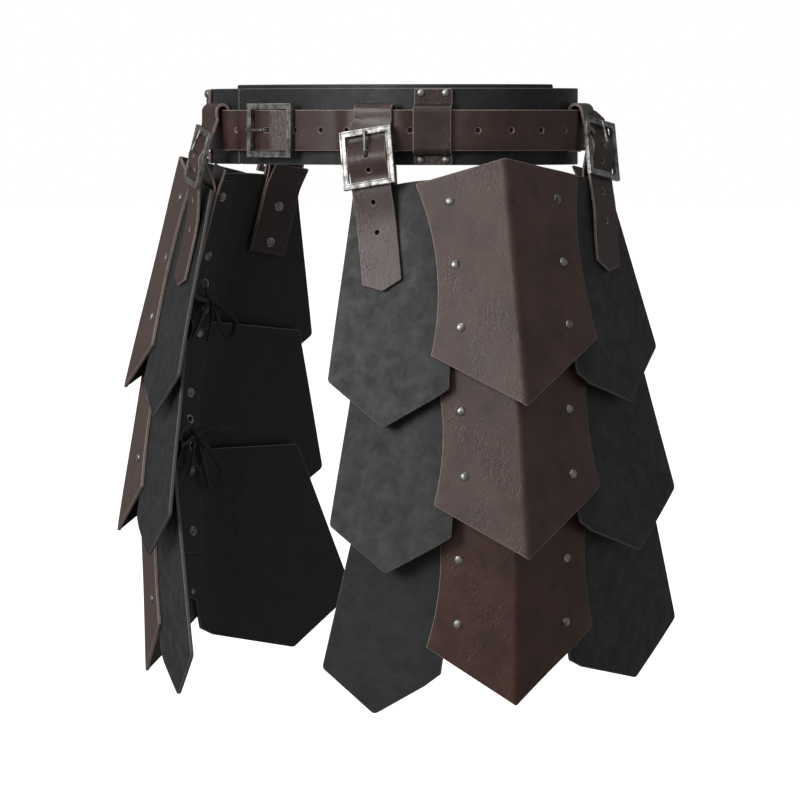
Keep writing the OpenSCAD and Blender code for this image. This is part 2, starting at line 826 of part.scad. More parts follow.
module left_upper_front_panel() { front_panel(0); }
module left_upper_rear_panel() { rear_panel(0); }
module left_upper_ridge_plate() { ridge_plate(0); }
module left_upper_rivets() { rivets(0); }
module left_upper_lace_strips() { lace_strips(0); }
module left_upper_rings() { rings(0); }
module left_middle_front_panel() { front_panel(1); }
module left_middle_rear_panel() { rear_panel(1); }
module left_middle_ridge_plate() { ridge_plate(1); }
module left_middle_rivets() { rivets(1); }
module left_middle_lace_strips() { lace_strips(1); }
module left_middle_rings() { rings(1); }
module left_lower_front_panel() { front_panel(2); }
module left_lower_rear_panel() { rear_panel(2); }
module left_lower_ridge_plate() { ridge_plate(2); }
module left_lower_rivets() { rivets(2); }
module left_lower_lace_strips() { lace_strips(2); }
module left_lower_rings() { rings(2); }
module left_upper_laces() { laces(0); }
module left_lower_laces() { laces(1); }

module left_strap_tails() {
  color(brown) {
    strap_tail(0);
    strap_tail(1);
  }
}

module left_strap_folds() {
  color(brown) {
    strap_fold(0);
    strap_fold(1);
  }
}

module left_buckle_frames() {
  color(steel) {
    buckle_frame(0);
    buckle_frame(1);
  }
}

module left_front_prong() {
  color(steel)
    hanger_prong(0);
}

module left_rear_prong() {
  color(steel)
    hanger_prong(1);
}

base_belt();
base_belt_overlap();
waist_strap();
belt_keepers();
keeper_rivets();
waist_buckle_frame();
waist_prong();
strap_loops();
left_upper_front_panel();
left_upper_rear_panel();
left_upper_ridge_plate();
left_upper_rivets();
left_upper_lace_strips();
left_upper_rings();
left_middle_front_panel();
left_middle_rear_panel();
left_middle_ridge_plate();
left_middle_rivets();
left_middle_lace_strips();
left_middle_rings();
left_lower_front_panel();
left_lower_rear_panel();
left_lower_ridge_plate();
left_lower_rivets();
left_lower_lace_strips();
left_lower_rings();
left_upper_laces();
left_lower_laces();
left_strap_tails();
left_strap_folds();
left_buckle_frames();
left_front_prong();
left_rear_prong();
mirror([1, 0, 0]) left_upper_front_panel();  // right_upper_front_panel
mirror([1, 0, 0]) left_upper_rear_panel();  // right_upper_rear_panel
mirror([1, 0, 0]) left_upper_ridge_plate();  // right_upper_ridge_plate
mirror([1, 0, 0]) left_upper_rivets();  // right_upper_rivets
mirror([1, 0, 0]) left_upper_lace_strips();  // right_upper_lace_strips
mirror([1, 0, 0]) left_upper_rings();  // right_upper_rings
mirror([1, 0, 0]) left_middle_front_panel();  // right_middle_front_panel
mirror([1, 0, 0]) left_middle_rear_panel();  // right_middle_rear_panel
mirror([1, 0, 0]) left_middle_ridge_plate();  // right_middle_ridge_plate
mirror([1, 0, 0]) left_middle_rivets();  // right_middle_rivets
mirror([1, 0, 0]) left_middle_lace_strips();  // right_middle_lace_strips
mirror([1, 0, 0]) left_middle_rings();  // right_middle_rings
mirror([1, 0, 0]) left_lower_front_panel();  // right_lower_front_panel
mirror([1, 0, 0]) left_lower_rear_panel();  // right_lower_rear_panel
mirror([1, 0, 0]) left_lower_ridge_plate();  // right_lower_ridge_plate
mirror([1, 0, 0]) left_lower_rivets();  // right_lower_rivets
mirror([1, 0, 0]) left_lower_lace_strips();  // right_lower_lace_strips
mirror([1, 0, 0]) left_lower_rings();  // right_lower_rings
mirror([1, 0, 0]) left_upper_laces();  // right_upper_laces
mirror([1, 0, 0]) left_lower_laces();  // right_lower_laces
mirror([1, 0, 0]) left_strap_tails();  // right_strap_tails
mirror([1, 0, 0]) left_strap_folds();  // right_strap_folds
mirror([1, 0, 0]) left_buckle_frames();  // right_buckle_frames
mirror([1, 0, 0]) left_front_prong();  // right_front_prong
mirror([1, 0, 0]) left_rear_prong();  // right_rear_prong
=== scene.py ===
"""Looks of a leather waist belt with two laced, three-tier thigh guards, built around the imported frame.
Lengths are in millimetres here, as in the part's source, and become metres when a mesh is made."""

import json
import math

import bmesh
import bpy
import numpy as np
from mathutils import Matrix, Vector
from mathutils.geometry import delaunay_2d_cdt

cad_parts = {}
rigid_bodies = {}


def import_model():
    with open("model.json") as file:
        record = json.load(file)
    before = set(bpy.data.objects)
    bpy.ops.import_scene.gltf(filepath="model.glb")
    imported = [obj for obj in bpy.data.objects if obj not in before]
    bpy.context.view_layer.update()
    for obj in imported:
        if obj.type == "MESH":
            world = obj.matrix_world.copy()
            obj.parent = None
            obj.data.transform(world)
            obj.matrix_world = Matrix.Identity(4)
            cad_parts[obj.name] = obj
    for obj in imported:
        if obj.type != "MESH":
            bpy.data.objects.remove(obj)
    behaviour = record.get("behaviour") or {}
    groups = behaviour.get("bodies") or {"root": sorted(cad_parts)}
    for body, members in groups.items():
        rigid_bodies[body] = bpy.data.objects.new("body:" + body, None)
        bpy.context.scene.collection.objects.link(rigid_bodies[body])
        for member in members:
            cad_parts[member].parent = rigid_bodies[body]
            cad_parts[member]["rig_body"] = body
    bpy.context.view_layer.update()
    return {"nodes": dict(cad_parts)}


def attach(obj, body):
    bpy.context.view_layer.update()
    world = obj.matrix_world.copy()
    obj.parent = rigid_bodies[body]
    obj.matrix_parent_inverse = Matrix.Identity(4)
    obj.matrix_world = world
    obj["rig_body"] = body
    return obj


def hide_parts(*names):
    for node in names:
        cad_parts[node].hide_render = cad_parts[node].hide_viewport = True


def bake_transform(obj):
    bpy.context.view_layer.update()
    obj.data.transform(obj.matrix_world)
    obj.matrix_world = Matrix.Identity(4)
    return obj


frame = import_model()
MM = 0.001

# Sizes, as the part's source has them
RING_A, RING_B = 175.0, 119.0
BASE_H, BASE_T = 60.0, 3.0
BELT_H, BELT_T, BELT_Z = 32.0, 3.0, -3.0
HOLE_PITCH, HOLE_R = 25.6, 2.0
STRAP_W, STRAP_T = 32.0, 2.4
FRONT_AT, REAR_AT, WAIST_AT = 30.9, 110.0, -2.6
PLATE_T, BRK, BEND_R = 2.8, 74.0, 50.0
GAP, BELT_GAP = 0.1, 0.3
BASE_OUT = -BELT_T / 2 - BELT_GAP
PUSH = STRAP_T + 1.4
LAYER = BELT_T + BELT_GAP
BELT_TOP, BELT_BOTTOM = BELT_Z + BELT_H / 2, BELT_Z - BELT_H / 2
LEAN_AZ = math.radians(65)
TIPS = np.array([[233.1, -81, -213.5], [237.8, -83.9, -331.2], [214.4, -74.1, -445.8]])
LEANS = [14.8, 9.6, -1.8]
DIR_FRONT, DIR_REAR, BEND_FRONT, BEND_REAR = 212.0, 88.0, 5.0, 14.0
HALF_RIDGE = math.radians((DIR_FRONT - DIR_REAR) / 2)
COL_FRONT, COL_REAR, STRIP_FRONT, STRIP_REAR = 47.0, 52.0, 31.0, 36.0
STRIP_W, STRIP_T = 27.0, 2.2
TOPS = [186.0, 177.7, 178.8]
RIVET_HS = [[168, 118, 68], [168.8, 118.3, 67.8], [162, 112, 62]]
STRIP_IN = -2 * PLATE_T - GAP / 2 - STRIP_T / 2
EYE_UP, EYE_LOW = 95.5, 75.0
STRIP_PATHS = [
    [[STRIP_IN, 182], [STRIP_IN, 106], [-17.6, 81], [-19.5, 59]],
    [[STRIP_IN, 198], [STRIP_IN, 106], [-17.2, 81], [-21.2, 59]],
    [[STRIP_IN, 191.5], [STRIP_IN, 94]],
]
EYES = [[EYE_UP, EYE_LOW], [190.6, EYE_UP + 1, EYE_LOW + 1.3], [184.5]]
HANG_M, HANG_H, HANG_OFF = [107, 111.5], [210, 216], [9.5, 3.5]
TAIL_TIP, FOLD_H = [105.5, 117.5], [130.5, 128.5]
LEG_END = [[-9.2, 206], [-13, 203.5]]
FOLD_RIVETS = [[170.6, 139.6], [168, 137.5]]
TAIL_IN = -PLATE_T - GAP - STRAP_T / 2
FOLD_IN = TAIL_IN - STRAP_T - 0.3
TIERS = ("upper", "middle", "lower")
SIDES = (("left", 1.0), ("right", -1.0))
FRONT_OUT = [
    [[BRK, 188.5], [124.6, 188.4], [158.8, 42.2], [117.3, -1], [BRK, 15.6]],
    [[BRK, 177.7], [127, 177.7], [159.4, 39.3], [115.7, -1.8], [BRK, 15.6]],
    [[BRK, 178.8], [122, 178.8], [158, 22.6], [114.8, -11.7], [BRK, 12.2]],
]
REAR_OUT = [
    [[BRK, 190], [123.6, 194], [175.5, 66], [129.5, 16], [BRK, 23.5]],
    [[BRK, 177.7], [153, 177.7], [197, 64.5], [140, 12], [BRK, 24]],
    [[BRK, 178.8], [161, 178.8], [211, 52], [152, 9.5], [BRK, 25]],
]
PLATE_FRONT_LOW = [[72.5, 49], [73, 47.5], [72, 43]]
PLATE_REAR_LOW = [[84, 61], [83, 59.5], [83, 57]]
RIDGE_LOW = 68.0
FRONT_STEP = [[61, 22], [57, 52]]
REAR_STEP = [[60, 31], [55, 55]]
HIDDEN_CAP = 1.4
KEEPER_RIVET_Z = 26.1
KEEPER_CAP_R = 3.2
PEAK_H = 196.0
# angles between which the waist strap climbs on to its second layer, and goes up to the bar and down
LAYER_CLIMB, BAR_UP, BAR_DOWN = (338, 347.5), (350.5, 356.9), (357.9, 364.3)
BAR_LIFT = 5.7
# degrees either side of a hanger between which the waist strap comes back to the ring
HANGER_SIDE = (7, 12)


# The ring of the waist
def ring_n(t):
    a = np.radians(t)
    v = np.stack([np.sin(a) / RING_A, -np.cos(a) / RING_B], -1)
    return v / np.linalg.norm(v, axis=-1, keepdims=True)


def ring_pt(t, out):
    a = np.radians(t)
    out = np.broadcast_to(out, np.shape(t))
    return np.stack([RING_A * np.sin(a), -RING_B * np.cos(a)], -1) + out[..., None] * ring_n(t)


RING_TS = np.arange(-60, 560, 0.25)
_steps = np.linalg.norm(np.diff(ring_pt(RING_TS, 0.0), axis=0), axis=1)
RING_S = np.concatenate([[0], np.cumsum(_steps)])
RING_S -= np.interp(0, RING_TS, RING_S)


def arc_of(t):
    return np.interp(t, RING_TS, RING_S)


def angle_at(s):
    return np.interp(s, RING_S, RING_TS)


def ramp(x, a, b):
    """From 0 at a to 1 at b, level at both."""
    return (1 - np.cos(np.pi * np.clip((x - a) / (b - a), 0, 1))) / 2


def strap_mid(t):
    """How far out the waist strap's middle lies, over the hangers, its first layer and the buckle's bar."""
    out = LAYER * ramp(t, *LAYER_CLIMB) + BAR_LIFT * (ramp(t, *BAR_UP) - ramp(t, *BAR_DOWN))
    for c in (FRONT_AT, -FRONT_AT, REAR_AT, -REAR_AT):
        out = out + PUSH * (1 - ramp(np.abs((t - c + 540) % 360 - 180), *HANGER_SIDE))
    return out


# The wings of a lame
def wing_dirs(rear):
    """In plan, the directions along a wing and out of it."""
    a = math.radians(DIR_REAR if rear else DIR_FRONT)
    v = np.array([math.cos(a), math.sin(a)])
    return v, (np.array([v[1], -v[0]]) if rear else np.array([-v[1], v[0]]))


def lame_matrix(i):
    """The turn that leans a lame."""
    c, s = math.cos(math.radians(-LEANS[i])), math.sin(math.radians(-LEANS[i]))
    x, y = math.cos(LEAN_AZ), math.sin(LEAN_AZ)
    return np.array([
        [c + x * x * (1 - c), x * y * (1 - c), y * s],
        [x * y * (1 - c), c + y * y * (1 - c), -x * s],
        [-y * s, x * s, c],
    ])


def to_world(i, local):
    return np.asarray(local, float) @ lame_matrix(i).T + TIPS[i]


def wing_point(i, rear, m, y, h, outer=False):
    """A point of a lame's wing: m from the ridge, y outwards, h up the slant."""
    m, y, h = np.broadcast_arrays(*[np.asarray(x, float) for x in (m, y, h)])
    if outer:
        b = math.radians(BEND_REAR if rear else BEND_FRONT)
        m, y = BRK + (m - BRK) * math.cos(b) + y * math.sin(b), -(m - BRK) * math.sin(b) + y * math.cos(b)
    v, o = wing_dirs(rear)
    plan = m[..., None] * v + y[..., None] * o
    return to_world(i, np.concatenate([plan, h[..., None]], -1))


class Bent:
    """A line with rounded corners in a plane, measured along its sharp corners from one of them."""

    def __init__(self, corners, radii, zero=0):
        self.c = np.array(corners, float)
        step = np.diff(self.c, axis=0)
        length = np.linalg.norm(step, axis=1)
        self.d = step / length[:, None]
        self.u = np.concatenate([[0], np.cumsum(length)])
        self.u -= self.u[zero]
        self.r = radii

    def at(self, p):
        """Points and right-hand normals at the lengths p."""
        p = np.asarray(p, float)
        j = np.clip(np.searchsorted(self.u, p, side="right") - 1, 0, len(self.d) - 1)
        pos, heading = self.c[j] + self.d[j] * (p - self.u[j])[:, None], self.d[j].copy()
        for i, r in enumerate(self.r, 1):
            a, b = self.d[i - 1], self.d[i]
            turn = math.atan2(a[0] * b[1] - a[1] * b[0], a @ b)
            reach = r * math.tan(abs(turn) / 2)
            if reach < 1e-9:
                continue
            near = np.abs(p - self.u[i]) < reach
            f = (p[near] - self.u[i] + reach) / (2 * reach) * turn
            side = math.copysign(1, turn)
            left = np.array([-a[1], a[0]]) * side
            start = self.c[i] - a * reach
            centre = start + left * r
            arm = start - centre
            co, si = np.cos(f)[:, None], np.sin(f)[:, None]
            pos[near] = centre + arm * co + np.array([-arm[1], arm[0]]) * si
            heading[near] = a * co + np.array([-a[1], a[0]]) * si
        return pos, np.stack([heading[:, 1], -heading[:, 0]], -1)


# the looks' own softer bends and ridge fold, and how far a plan runs past its bends
FRONT_BEND_R, REAR_BEND_R, RIDGE_FOLD_R = 150.0, 120.0, 6.0
FRONT_REACH, REAR_REACH = 120, 170


def lame_plan(depth, bend):
    """Plan of a lame's face that lies `depth` under the brown leather's outer face."""
    front_way, front_out = wing_dirs(False)
    rear_way, rear_out = wing_dirs(True)
    front_turn, rear_turn = math.radians(BEND_FRONT), math.radians(BEND_REAR)

    def far(way, corner, turn, length):
        c, s = math.cos(turn), math.sin(turn)
        return corner + length * np.array([way[0] * c - way[1] * s, way[0] * s + way[1] * c])

    front = (BRK - depth * math.tan(front_turn / 2)) * front_way - depth * front_out
    rear = (BRK - depth * math.tan(rear_turn / 2)) * rear_way - depth * rear_out
    ridge = depth / math.tan(HALF_RIDGE) * front_way - depth * front_out
    front_end = far(front_way, front, -front_turn, FRONT_REACH)
    rear_end = far(rear_way, rear, rear_turn, REAR_REACH)
    radii = [FRONT_BEND_R - depth, bend, REAR_BEND_R - depth]
    return Bent([front_end, front, ridge, rear, rear_end], radii, 2)


BLACK_PLAN = lame_plan(PLATE_T, BEND_R)
BROWN_PLAN = lame_plan(0.0, RIDGE_FOLD_R)
# how much less the black leather measures from the ridge than the brown leather's outer face
BLACK_K = PLATE_T / math.tan(HALF_RIDGE)


def sway(p, h, i):
    """Slow unevenness of a lame's leather, the same for the brown and the black."""
    return 0.35 * np.sin(p / 31 + i * 1.7) * np.sin(h / 43 + 0.6 * i) + 0.2 * np.sin(p / 17 + h / 23 + i)


def on_lame(i, plan, side):
    def place(x, h, d):
        pos, n = plan.at(x)
        xy = pos + n * (sway(x, h, i) - d)[:, None]
        return to_world(i, np.concatenate([xy, h[:, None]], 1)) * [side, 1, 1]

    return place


# Leather cut from a flat outline
def rounded(points, radius, steps=4):
    """The outline with its corners rounded."""
    out, n = [], len(points)
    P = [np.array(p, float) for p in points]
    r = [radius] * n if np.isscalar(radius) else radius
    for i in range(n):
        a, b, c = P[i - 1], P[i], P[(i + 1) % n]
        u, w = (a - b) / np.linalg.norm(a - b), (c - b) / np.linalg.norm(c - b)
        angle = math.acos(np.clip(u @ w, -1, 1))
        if r[i] <= 0 or angle > math.radians(172):
            out.append(b)
            continue
        cut = min(r[i] / math.tan(angle / 2), 0.45 * min(np.linalg.norm(a - b), np.linalg.norm(c - b)))
        p, q = b + u * cut, b + w * cut
        for k in range(steps + 1):
            s = k / steps
            out.append((1 - s) ** 2 * p + 2 * s * (1 - s) * b + s * s * q)
    return out


def oblong(x0, y0, x1, y1, radius=1.5):
    return rounded([[x0, y0], [x1, y0], [x1, y1], [x0, y1]], radius)


def inset(points, amount):
    """The outline moved towards its left by amount."""
    P = np.array(points, float)
    a = P - np.roll(P, 1, 0)
    b = np.roll(P, -1, 0) - P
    a /= np.linalg.norm(a, axis=1)[:, None]
    b /= np.linalg.norm(b, axis=1)[:, None]
    na, nb = np.stack([-a[:, 1], a[:, 0]], 1), np.stack([-b[:, 1], b[:, 0]], 1)
    m = na + nb
    return P + amount * m / np.maximum((m * na).sum(1), 0.5)[:, None]


def circle(x, y, r, n=20):
    return [[x + r * math.cos(2 * math.pi * k / n), y + r * math.sin(2 * math.pi * k / n)] for k in range(n)]


def area_of(points):
    P = np.array(points, float)
    Q = np.roll(P, -1, 0)
    return float((P[:, 0] * Q[:, 1] - Q[:, 0] * P[:, 1]).sum() / 2)


def inside(points, loops):
    """Whether each point lies within the loops, holes left out."""
    x, y = points[:, 0], points[:, 1]
    odd = np.zeros(len(points), bool)
    for L in loops:
        for (x0, y0), (x1, y1) in zip(L, np.roll(L, -1, 0)):
            if y0 != y1:
                hit = ((y0 > y) != (y1 > y)) & (x < (x1 - x0) * (y - y0) / (y1 - y0) + x0)
                odd ^= hit
    return odd


# the cuts across an edge stay clear of its ends by this share of it or by this length, whichever is less
EDGE_SHARE, EDGE_MARGIN = 0.08, 1.0


def cut_flat(outline, holes, cuts, edge):
    """Flat cells of the outline less its holes, with points where the lines x = and y = in cuts meet."""
    loops = [outline if area_of(outline) > 0 else outline[::-1]]
    loops += [h[::-1] if area_of(h) > 0 else h for h in holes]
    rims = []
    for loop in loops:
        P, out = inset(loop, edge), []
        for p, q in zip(P, np.roll(P, -1, 0)):
            at, near = {0.0}, min(EDGE_SHARE, EDGE_MARGIN / max(float(np.linalg.norm(q - p)), 1e-9))
            for axis in (0, 1):
                run = q[axis] - p[axis]
                if abs(run) > 1e-9:
                    shares = [float((c - p[axis]) / run) for c in cuts[axis]]
                    at |= {f for f in shares if near < f < 1 - near}
            out += [p + (q - p) * f for f in sorted(at)]
        kept = [out[0]] + [b for a, b in zip(out, out[1:]) if np.linalg.norm(b - a) > 0.05]
        rims.append(np.array(kept))
    grid = np.array([[x, y] for x in cuts[0] for y in cuts[1]]) if cuts[0] and cuts[1] else np.zeros((0, 2))
    if len(grid):
        grid = grid[inside(grid, rims)]
    if len(grid):
        clear = np.full(len(grid), 1e9)
        for L in rims:
            for p, q in zip(L, np.roll(L, -1, 0)):
                d = q - p
                f = np.clip(((grid - p) @ d) / (d @ d), 0, 1)
                clear = np.minimum(clear, np.linalg.norm(grid - p - f[:, None] * d, axis=1))
        gaps = [b - a for c in cuts for a, b in zip(c, c[1:])]
        grid = grid[clear > 0.3 * min(gaps + [4.0])]
    verts, faces, n = [Vector(p) for L in rims for p in L] + [Vector(p) for p in grid], [], 0
    for j, L in enumerate(rims):
        ids = list(range(n, n + len(L)))
        faces.append(ids if j == 0 else ids[::-1])
        n += len(L)
    found, _, cells, _, _, of_faces = delaunay_2d_cdt(verts, [], faces, 1, 1e-5)
    F = [list(map(int, c)) for c, own in zip(cells, of_faces) if list(own) == [0]]
    used = sorted({v for f in F for v in f})
    spot = {v: k for k, v in enumerate(used)}
    V = np.array([(found[v].x, found[v].y) for v in used])
    return V, [[spot[v] for v in f] for f in F]


def linked_object(name, data):
    """A new object in the scene."""
    o = bpy.data.objects.new(name, data)
    bpy.context.scene.collection.objects.link(o)
    return o


def mesh_piece(name, verts, faces, mats, indices, uv):
    """A mesh object from points in millimetres, its faces turned outwards."""
    V = np.asarray(verts, float)
    volume = 0.0
    for f in faces:
        for k in range(1, len(f) - 1):
            volume += np.dot(V[f[0]], np.cross(V[f[k]], V[f[k + 1]]))
    if volume < 0:
        faces = [f[::-1] for f in faces]
    me = bpy.data.meshes.new(name)
    me.from_pydata((V * MM).tolist(), [], faces)
    for m in mats:
        me.materials.append(m)
    me.polygons.foreach_set("material_index", indices)
    me.polygons.foreach_set("use_smooth", [True] * len(faces))
    layer = me.uv_layers.new(name="cut")
    corner = np.zeros(len(me.loops), np.int32)
    me.loops.foreach_get("vertex_index", corner)
    layer.data.foreach_set("uv", (np.asarray(uv, float)[corner] * MM).ravel())
    me.validate()
    return linked_object(name, me)


def leather(outline, holes, place, thick, cuts, edge=0.6):
    """Points, faces, material numbers and flat coordinates of a piece of leather with rounded cut edges."""
    V, F = cut_flat(outline, holes, cuts, edge)
    sides = {(a, b): True for f in F for a, b in zip(f, f[1:] + f[:1])}
    border = {a: b for a, b in sides if (b, a) not in sides}
    back = {b: a for a, b in border.items()}
    ids = sorted(border)
    spot = {v: k for k, v in enumerate(ids)}
    tangent = V[[border[v] for v in ids]] - V[[back[v] for v in ids]]
    tangent /= np.maximum(np.linalg.norm(tangent, axis=1), 1e-9)[:, None]
    out = np.stack([tangent[:, 1], -tangent[:, 0]], 1)
    n, B = len(V), V[ids]
    rows = [(edge * math.sin(a), edge * (1 - math.cos(a))) for a in np.radians([25, 55, 90])]
    rows += [(w, thick - d) for w, d in rows[::-1]]
    flat = [V, V] + [B + out * w for w, _ in rows]
    depth = [np.zeros(n), np.full(n, thick)] + [np.full(len(B), d) for _, d in rows]
    flat, depth = np.concatenate(flat), np.concatenate(depth)
    faces, kinds = [list(f) for f in F], [0] * len(F)
    faces += [[v + n for v in f[::-1]] for f in F]
    kinds += [1] * len(F)

    def row(k, v):
        if k < 0:
            return v
        if k == len(rows):
            return v + n
        return 2 * n + k * len(B) + spot[v]

    for a, b in border.items():
        for k in range(-1, len(rows)):
            faces.append([row(k, b), row(k, a), row(k + 1, a), row(k + 1, b)])
            kinds.append(2)
    return place(flat[:, 0], flat[:, 1], depth), faces, kinds, flat


def joined(parts):
    """Several leather pieces as one set of points and faces."""
    V, F, K, U, n = [], [], [], [], 0
    for v, f, k, u in parts:
        V.append(v)
        F += [[x + n for x in face] for face in f]
        K += k
        U.append(u)
        n += len(v)
    return np.concatenate(V), F, K, np.concatenate(U)


def leather_piece(name, parts, mats):
    """One piece of leather: its outer face, inner face and cut edges take the three finishes in mats."""
    V, F, K, U = joined(parts)
    o = mesh_piece(name, V, F, mats, K, U)
    crisp = o.modifiers.new("Even faces", "WEIGHTED_NORMAL")
    crisp.weight = 90
    return o


def lines(a, b, step):
    """Even cuts between a and b, about a step apart."""
    n = max(1, int(round((b - a) / step)))
    return [a + (b - a) * k / n for k in range(1, n)]


class Run:
    """A smooth strip path in space through points with a width direction at each."""

    def __init__(self, points, widths, step=0.8):
        P, W = np.array(points, float), np.array(widths, float)
        chord = np.concatenate([[0], np.cumsum(np.sqrt(np.linalg.norm(np.diff(P, axis=0), axis=1)))])
        fine_t, fine_p, fine_w = [], [], []
        for k in range(len(P) - 1):
            p0, p1, p2, p3 = P[max(k - 1, 0)], P[k], P[k + 1], P[min(k + 2, len(P) - 1)]
            t1, t2 = chord[k], chord[k + 1]
            t0, t3 = (chord[k - 1] if k else t1 - 1), (chord[k + 2] if k + 2 < len(P) else t2 + 1)
            n = max(2, int(np.linalg.norm(p2 - p1) / step))
            m1 = (p2 - p0) / (t2 - t0) * (t2 - t1)
            m2 = (p3 - p1) / (t3 - t1) * (t2 - t1)
            for j in range(n):
                s = j / n
                h = (2 * s**3 - 3 * s * s + 1, s**3 - 2 * s * s + s, -2 * s**3 + 3 * s * s, s**3 - s * s)
                fine_p.append(h[0] * p1 + h[1] * m1 + h[2] * p2 + h[3] * m2)
                fine_w.append((1 - s) * W[k] + s * W[k + 1])
            fine_t.append(len(fine_p) - n)
        fine_t.append(len(fine_p))
        fine_p.append(P[-1])
        fine_w.append(W[-1])
        self.p, w = np.array(fine_p), np.array(fine_w)
        along = np.gradient(self.p, axis=0)
        along /= np.linalg.norm(along, axis=1)[:, None]
        w -= (w * along).sum(1)[:, None] * along
        self.w = w / np.linalg.norm(w, axis=1)[:, None]
        self.n = np.cross(self.w, along)
        self.s = np.concatenate([[0], np.cumsum(np.linalg.norm(np.diff(self.p, axis=0), axis=1))])
        self.marks = self.s[fine_t]
        self.length = self.s[-1]

    def place(self, thick, side=1.0):
        """Across is x and along is y; depth runs from one face at 0 through the middle to the other."""

        def at(x, y, d):
            p, w, n = (
                np.stack([np.interp(y, self.s, a[:, k]) for k in range(3)], 1)
                for a in (self.p, self.w, self.n)
            )
            return (p + w * x[:, None] + n * (thick / 2 - d)[:, None]) * [side, 1, 1]

        return at


# Finishes
class Finish:
    """A material and short ways to add its nodes."""

    def __init__(self, name):
        self.m = bpy.data.materials.new(name)
        self.m.use_nodes = True
        self.t = self.m.node_tree
        self.bsdf = self.t.nodes["Principled BSDF"]
        self.co = self.add("ShaderNodeTexCoord").outputs["Object"]

    def add(self, kind, **inputs):
        n = self.t.nodes.new(kind)
        for key, value in inputs.items():
            if key in n.inputs:
                self.put(n.inputs[key], value)
            else:
                setattr(n, key, value)
        return n

    def put(self, socket, value):
        if isinstance(value, bpy.types.NodeSocket):
            self.t.links.new(value, socket)
        else:
            socket.default_value = value

    def flat(self):
        return self.add("ShaderNodeUVMap", uv_map="cut").outputs["UV"]

    def turned(self, vector, angle=0.0, scale=(1, 1, 1), shift=(0, 0, 0)):
        n = self.add("ShaderNodeMapping", Vector=vector)
        n.inputs["Rotation"].default_value = (0, 0, math.radians(angle))
        n.inputs["Scale"].default_value = scale
        n.inputs["Location"].default_value = shift
        return n.outputs["Vector"]

    def cloud(self, vector, scale, detail=4.0, rough=0.55, distort=0.0):
        n = self.add("ShaderNodeTexNoise", Vector=vector)
        keys = ("Scale", "Detail", "Roughness", "Distortion")
        for key, value in zip(keys, (scale, detail, rough, distort)):
            n.inputs[key].default_value = value
        return n.outputs["Fac"]

    def grain(self, scale):
        n = self.add("ShaderNodeTexVoronoi", Vector=self.co)
        n.inputs["Scale"].default_value = scale
        return n.outputs["Distance"]

    def steps(self, fac, *stops):
        n = self.add("ShaderNodeValToRGB", Fac=fac)
        elements = n.color_ramp.elements
        while len(elements) < len(stops):
            elements.new(0.5)
        for e, (at, colour) in zip(elements, stops):
            e.position = at
            e.color = (*colour, 1) if hasattr(colour, "__len__") else (colour, colour, colour, 1)
        return n.outputs["Color"]

    def maths(self, what, a, b=0.0, clamp=False):
        n = self.add("ShaderNodeMath", operation=what)
        n.use_clamp = clamp
        self.put(n.inputs[0], a)
        self.put(n.inputs[1], b)
        return n.outputs[0]

    def blend(self, fac, a, b):
        n = self.t.nodes.new("ShaderNodeMix")
        n.data_type, n.blend_type = "RGBA", "MIX"
        self.put(n.inputs[0], fac)
        for socket, value in ((n.inputs[6], a), (n.inputs[7], b)):
            self.put(socket, (*value, 1) if isinstance(value, tuple) and len(value) == 3 else value)
        return n.outputs[2]

    def bumps(self, *layers):
        normal = None
        for height, strength, distance in layers:
            n = self.add("ShaderNodeBump", Height=height)
            n.inputs["Strength"].default_value = strength
            n.inputs["Distance"].default_value = distance
            if normal is not None:
                self.t.links.new(normal, n.inputs["Normal"])
            normal = n.outputs["Normal"]
        self.t.links.new(normal, self.bsdf.inputs["Normal"])

    def end(self, colour, rough, **fixed):
        """Sets the colour and roughness, and returns the material."""
        linked = isinstance(colour, bpy.types.NodeSocket)
        self.put(self.bsdf.inputs["Base Color"], colour if linked else (*colour, 1))
        self.put(self.bsdf.inputs["Roughness"], rough)
        for key, value in fixed.items():
            self.bsdf.inputs[key.replace("_", " ")].default_value = value
        return self.m


def shaded(colour, share):
    return tuple(share * c for c in colour)


def creases(f, vector, angle, spread=1.0):
    """Fine crossing wrinkles in clusters: 1 in a crease, 0 between them. The brown leather uses the creases
    for bumps and for painted shade along them.
    """
    warp = f.add("ShaderNodeTexNoise", Vector=vector)
    warp.inputs["Scale"].default_value = 90
    shifted = f.add("ShaderNodeVectorMath", operation="MULTIPLY_ADD")
    f.put(shifted.inputs[0], warp.outputs["Color"])
    shifted.inputs[1].default_value = (0.006, 0.006, 0.006)
    f.put(shifted.inputs[2], vector)
    cell = f.add("ShaderNodeTexVoronoi", Vector=f.turned(shifted.outputs[0], angle, (1, 0.42, 1)))
    cell.feature = "DISTANCE_TO_EDGE"
    cell.inputs["Scale"].default_value = 340
    line = f.steps(cell.outputs["Distance"], (0.0, 1.0), (0.07, 0.0))
    clusters = f.cloud(f.turned(vector, angle, (1, 0.6, 1), (0.3, 0.1, 0)), 24, 3.0)
    where = f.steps(clusters, (0.50, 0.0), (0.66, spread))
    return f.maths("MULTIPLY", line, where, True), where


BROWN_SHADES = ((0.030, 0.0125, 0.0095), (0.056, 0.024, 0.0185), (0.084, 0.040, 0.032))
BLACK_SHADES = ((0.0085, 0.0088, 0.010), (0.0205, 0.0215, 0.024))
BLACK_INSIDE_SHADES = ((0.0075, 0.0075, 0.0078), (0.017, 0.017, 0.0175))
STEEL_SHADES = ((0.10, 0.096, 0.09), (0.42, 0.41, 0.395))


